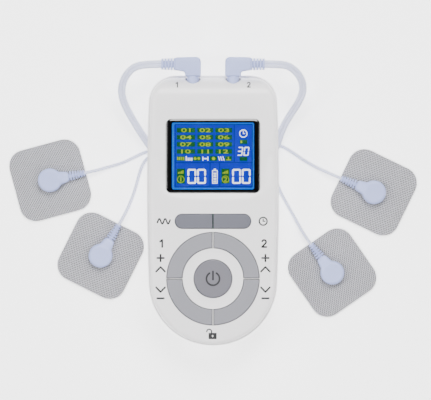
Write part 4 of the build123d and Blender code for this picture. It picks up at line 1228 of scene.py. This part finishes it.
def make_lamp(name, place, power):
    """A square softbox aimed at the middle of the object."""
    data = bpy.data.lights.new(name, "AREA")
    data.shape, data.size, data.energy = "SQUARE", SOFTBOX, power
    lamp = bpy.data.objects.new(name, data)
    lamp.location = place
    lamp.rotation_mode = "QUATERNION"
    lamp.rotation_quaternion = (-Vector(place)).to_track_quat("-Z", "Y")
    bpy.context.scene.collection.objects.link(lamp)


def make_world():
    """Even studio light from the sides, dark straight above, so that flat gloss facing up stays black."""
    world = bpy.data.worlds.new("studio")
    world.use_nodes = True
    tree = world.node_tree
    way = add_node(tree, "ShaderNodeTexCoord")
    parts = add_node(tree, "ShaderNodeSeparateXYZ", links={"Vector": way.outputs["Generated"]})
    sky = add_node(
        tree, "ShaderNodeMapRange", {"From Min": 0.88, "From Max": 0.97, "To Min": 0.55, "To Max": 0.02},
        {"Value": parts.outputs["Z"]},
    )
    tree.links.new(sky.outputs["Result"], tree.nodes["Background"].inputs["Strength"])
    bpy.context.scene.world = world


def make_stage():
    """A pale floor just under the object, four softboxes round it and none straight above, a studio sky, and
    a camera straight above."""
    mesh = bpy.data.meshes.new("floor")
    flat = rectangle(-FLOOR_HALF, FLOOR_HALF, -FLOOR_HALF, FLOOR_HALF)
    mesh.from_pydata(raised(flat, FLOOR_Z).tolist(), [], [[0, 1, 2, 3]])
    floor = bpy.data.objects.new("floor", mesh)
    bpy.context.scene.collection.objects.link(floor)
    # Opal acrylic light table, lit softly from below
    opal, _, shader = new_material("light_table", Roughness=0.9, Emission_Strength=1.7)
    shader.inputs["Emission Color"].default_value = (1, 1, 1, 1)
    shader.inputs["Base Color"].default_value = linear("FFFFFF")
    mesh.materials.append(opal)

    for name, (place, power) in LAMPS.items():
        make_lamp(name, place, power)
    make_world()
    data = bpy.data.cameras.new("camera")
    data.sensor_width, data.lens = 36.0, LENS_LENGTH
    camera = bpy.data.objects.new("camera", data)
    camera.location = CAMERA_PLACE
    bpy.context.scene.collection.objects.link(camera)
    bpy.context.scene.camera = camera


# ------------------------------------------------------------------ operators
class TENS_OT_materials(bpy.types.Operator):
    """Make every finish of the object"""

    bl_idname = "tens.materials"
    bl_label = "Finishes"
    bl_options = {"REGISTER", "UNDO"}

    def execute(self, context):
        scene = context.scene
        make_materials(scene.tens_case, scene.tens_leads, scene.tens_pads, scene.tens_display)
        return {"FINISHED"}


class TENS_OT_stage(bpy.types.Operator):
    """Add the floor, the lamps and the camera"""

    bl_idname = "tens.stage"
    bl_label = "Stage"
    bl_options = {"REGISTER", "UNDO"}

    def execute(self, context):
        make_stage()
        return {"FINISHED"}


class TENS_OT_plugs(bpy.types.Operator):
    """Add the right-angle plugs and the Y-splits"""

    bl_idname = "tens.plugs"
    bl_label = "Plugs and splits"
    bl_options = {"REGISTER", "UNDO"}

    def execute(self, context):
        make_plugs()
        make_splits()
        finish_cad(["plug_1_pin", "plug_2_pin"], "nickel")
        return {"FINISHED"}


class TENS_OT_connectors(bpy.types.Operator):
    """Add the snap connectors"""

    bl_idname = "tens.connectors"
    bl_label = "Snap connectors"
    bl_options = {"REGISTER", "UNDO"}

    def execute(self, context):
        make_snap_connectors()
        finish_cad([f"snap_socket_{name}" for name in ELECTRODES], "nickel")
        return {"FINISHED"}


class TENS_OT_cords(bpy.types.Operator):
    """Add the twin cords and the leads"""

    bl_idname = "tens.cords"
    bl_label = "Cords"
    bl_options = {"REGISTER", "UNDO"}

    def execute(self, context):
        make_trunks(context.scene.tens_leads)
        make_leads(context.scene.tens_leads)
        return {"FINISHED"}


class TENS_OT_pads(bpy.types.Operator):
    """Add the electrodes"""

    bl_idname = "tens.pads"
    bl_label = "Electrodes"
    bl_options = {"REGISTER", "UNDO"}

    def execute(self, context):
        make_pads()
        finish_cad([f"pad_{name}_stud" for name in ELECTRODES], "nickel")
        return {"FINISHED"}


class TENS_OT_shells(bpy.types.Operator):
    """Add the front shell and finish the back shell, the door and the clip"""

    bl_idname = "tens.shells"
    bl_label = "Case shells"
    bl_options = {"REGISTER", "UNDO"}

    def execute(self, context):
        make_front_shell(context.scene.tens_case)
        finish_cad(["back_shell", "battery_door", "belt_clip"], "shell_abs")
        finish_cad(["case_screws", "clip_pin"], "zinc")
        finish_cad(["clip_spring", "battery_contacts"], "spring_steel")
        return {"FINISHED"}


class TENS_OT_keys(bpy.types.Operator):
    """Finish the keys"""

    bl_idname = "tens.keys"
    bl_label = "Keys"
    bl_options = {"REGISTER", "UNDO"}

    def execute(self, context):
        finish_cad([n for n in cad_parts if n.startswith("channel_")], "ring_key_abs")
        finish_cad(["mode_key", "timer_key"], "pill_key_abs")
        finish_cad(["power_button"], "power_abs")
        return {"FINISHED"}


class TENS_OT_marks(bpy.types.Operator):
    """Print the symbols on the case and the power button"""

    bl_idname = "tens.marks"
    bl_label = "Printed symbols"
    bl_options = {"REGISTER", "UNDO"}

    def execute(self, context):
        make_marks()
        return {"FINISHED"}


class TENS_OT_display(bpy.types.Operator):
    """Add the lens and the lit display"""

    bl_idname = "tens.display"
    bl_label = "Display"
    bl_options = {"REGISTER", "UNDO"}

    def execute(self, context):
        make_display()
        return {"FINISHED"}


class TENS_OT_inside(bpy.types.Operator):
    """Finish the board, the cells and what else is inside"""

    bl_idname = "tens.inside"
    bl_label = "Inside"
    bl_options = {"REGISTER", "UNDO"}

    def execute(self, context):
        finish_cad(["main_board"], "solder_mask")
        finish_cad(["board_chips"], "epoxy")
        finish_cad(["pulse_transformers"], "ferrite")
        finish_cad(["jack_sockets", "key_switches"], "nylon")
        finish_cad(["aaa_cells"], "cell_sleeve")
        finish_cad(["lcd_backlight"], "acrylic_guide")
        return {"FINISHED"}


class TENS_PT_panel(bpy.types.Panel):
    """Sidebar panel with the settings and the operators"""

    bl_idname = "TENS_PT_panel"
    bl_label = "TENS unit"
    bl_space_type = "VIEW_3D"
    bl_region_type = "UI"
    bl_category = "TENS unit"

    def draw(self, context):
        for group in SETTINGS:
            holder = getattr(context.scene, group)
            for name in holder.bl_rna.properties.keys():
                if name not in ("rna_type", "name"):
                    self.layout.prop(holder, name)
        for operator in OPERATORS:
            self.layout.operator(operator.bl_idname)


SETTINGS = {
    "tens_case": TensCaseSettings,
    "tens_leads": TensLeadSettings,
    "tens_pads": TensPadSettings,
    "tens_display": TensDisplaySettings,
}
OPERATORS = [
    TENS_OT_materials, TENS_OT_stage, TENS_OT_plugs, TENS_OT_connectors, TENS_OT_cords, TENS_OT_pads,
    TENS_OT_shells, TENS_OT_keys, TENS_OT_marks, TENS_OT_display, TENS_OT_inside,
]


def register():
    """Registers the settings, the operators and the panel, and hangs the settings on the scene."""
    for group in SETTINGS.values():
        bpy.utils.register_class(group)
    for name, group in SETTINGS.items():
        setattr(bpy.types.Scene, name, bpy.props.PointerProperty(type=group))
    for operator in OPERATORS:
        bpy.utils.register_class(operator)
    bpy.utils.register_class(TENS_PT_panel)


def unregister():
    """Takes back what register did, in the opposite order."""
    bpy.utils.unregister_class(TENS_PT_panel)
    for operator in reversed(OPERATORS):
        bpy.utils.unregister_class(operator)
    for name, group in SETTINGS.items():
        delattr(bpy.types.Scene, name)
        bpy.utils.unregister_class(group)


def main():
    """Builds everything through its operators."""
    register()
    for operator in OPERATORS:
        group, name = operator.bl_idname.split(".")
        getattr(getattr(bpy.ops, group), name)()


if __name__ == "__main__":
    main()
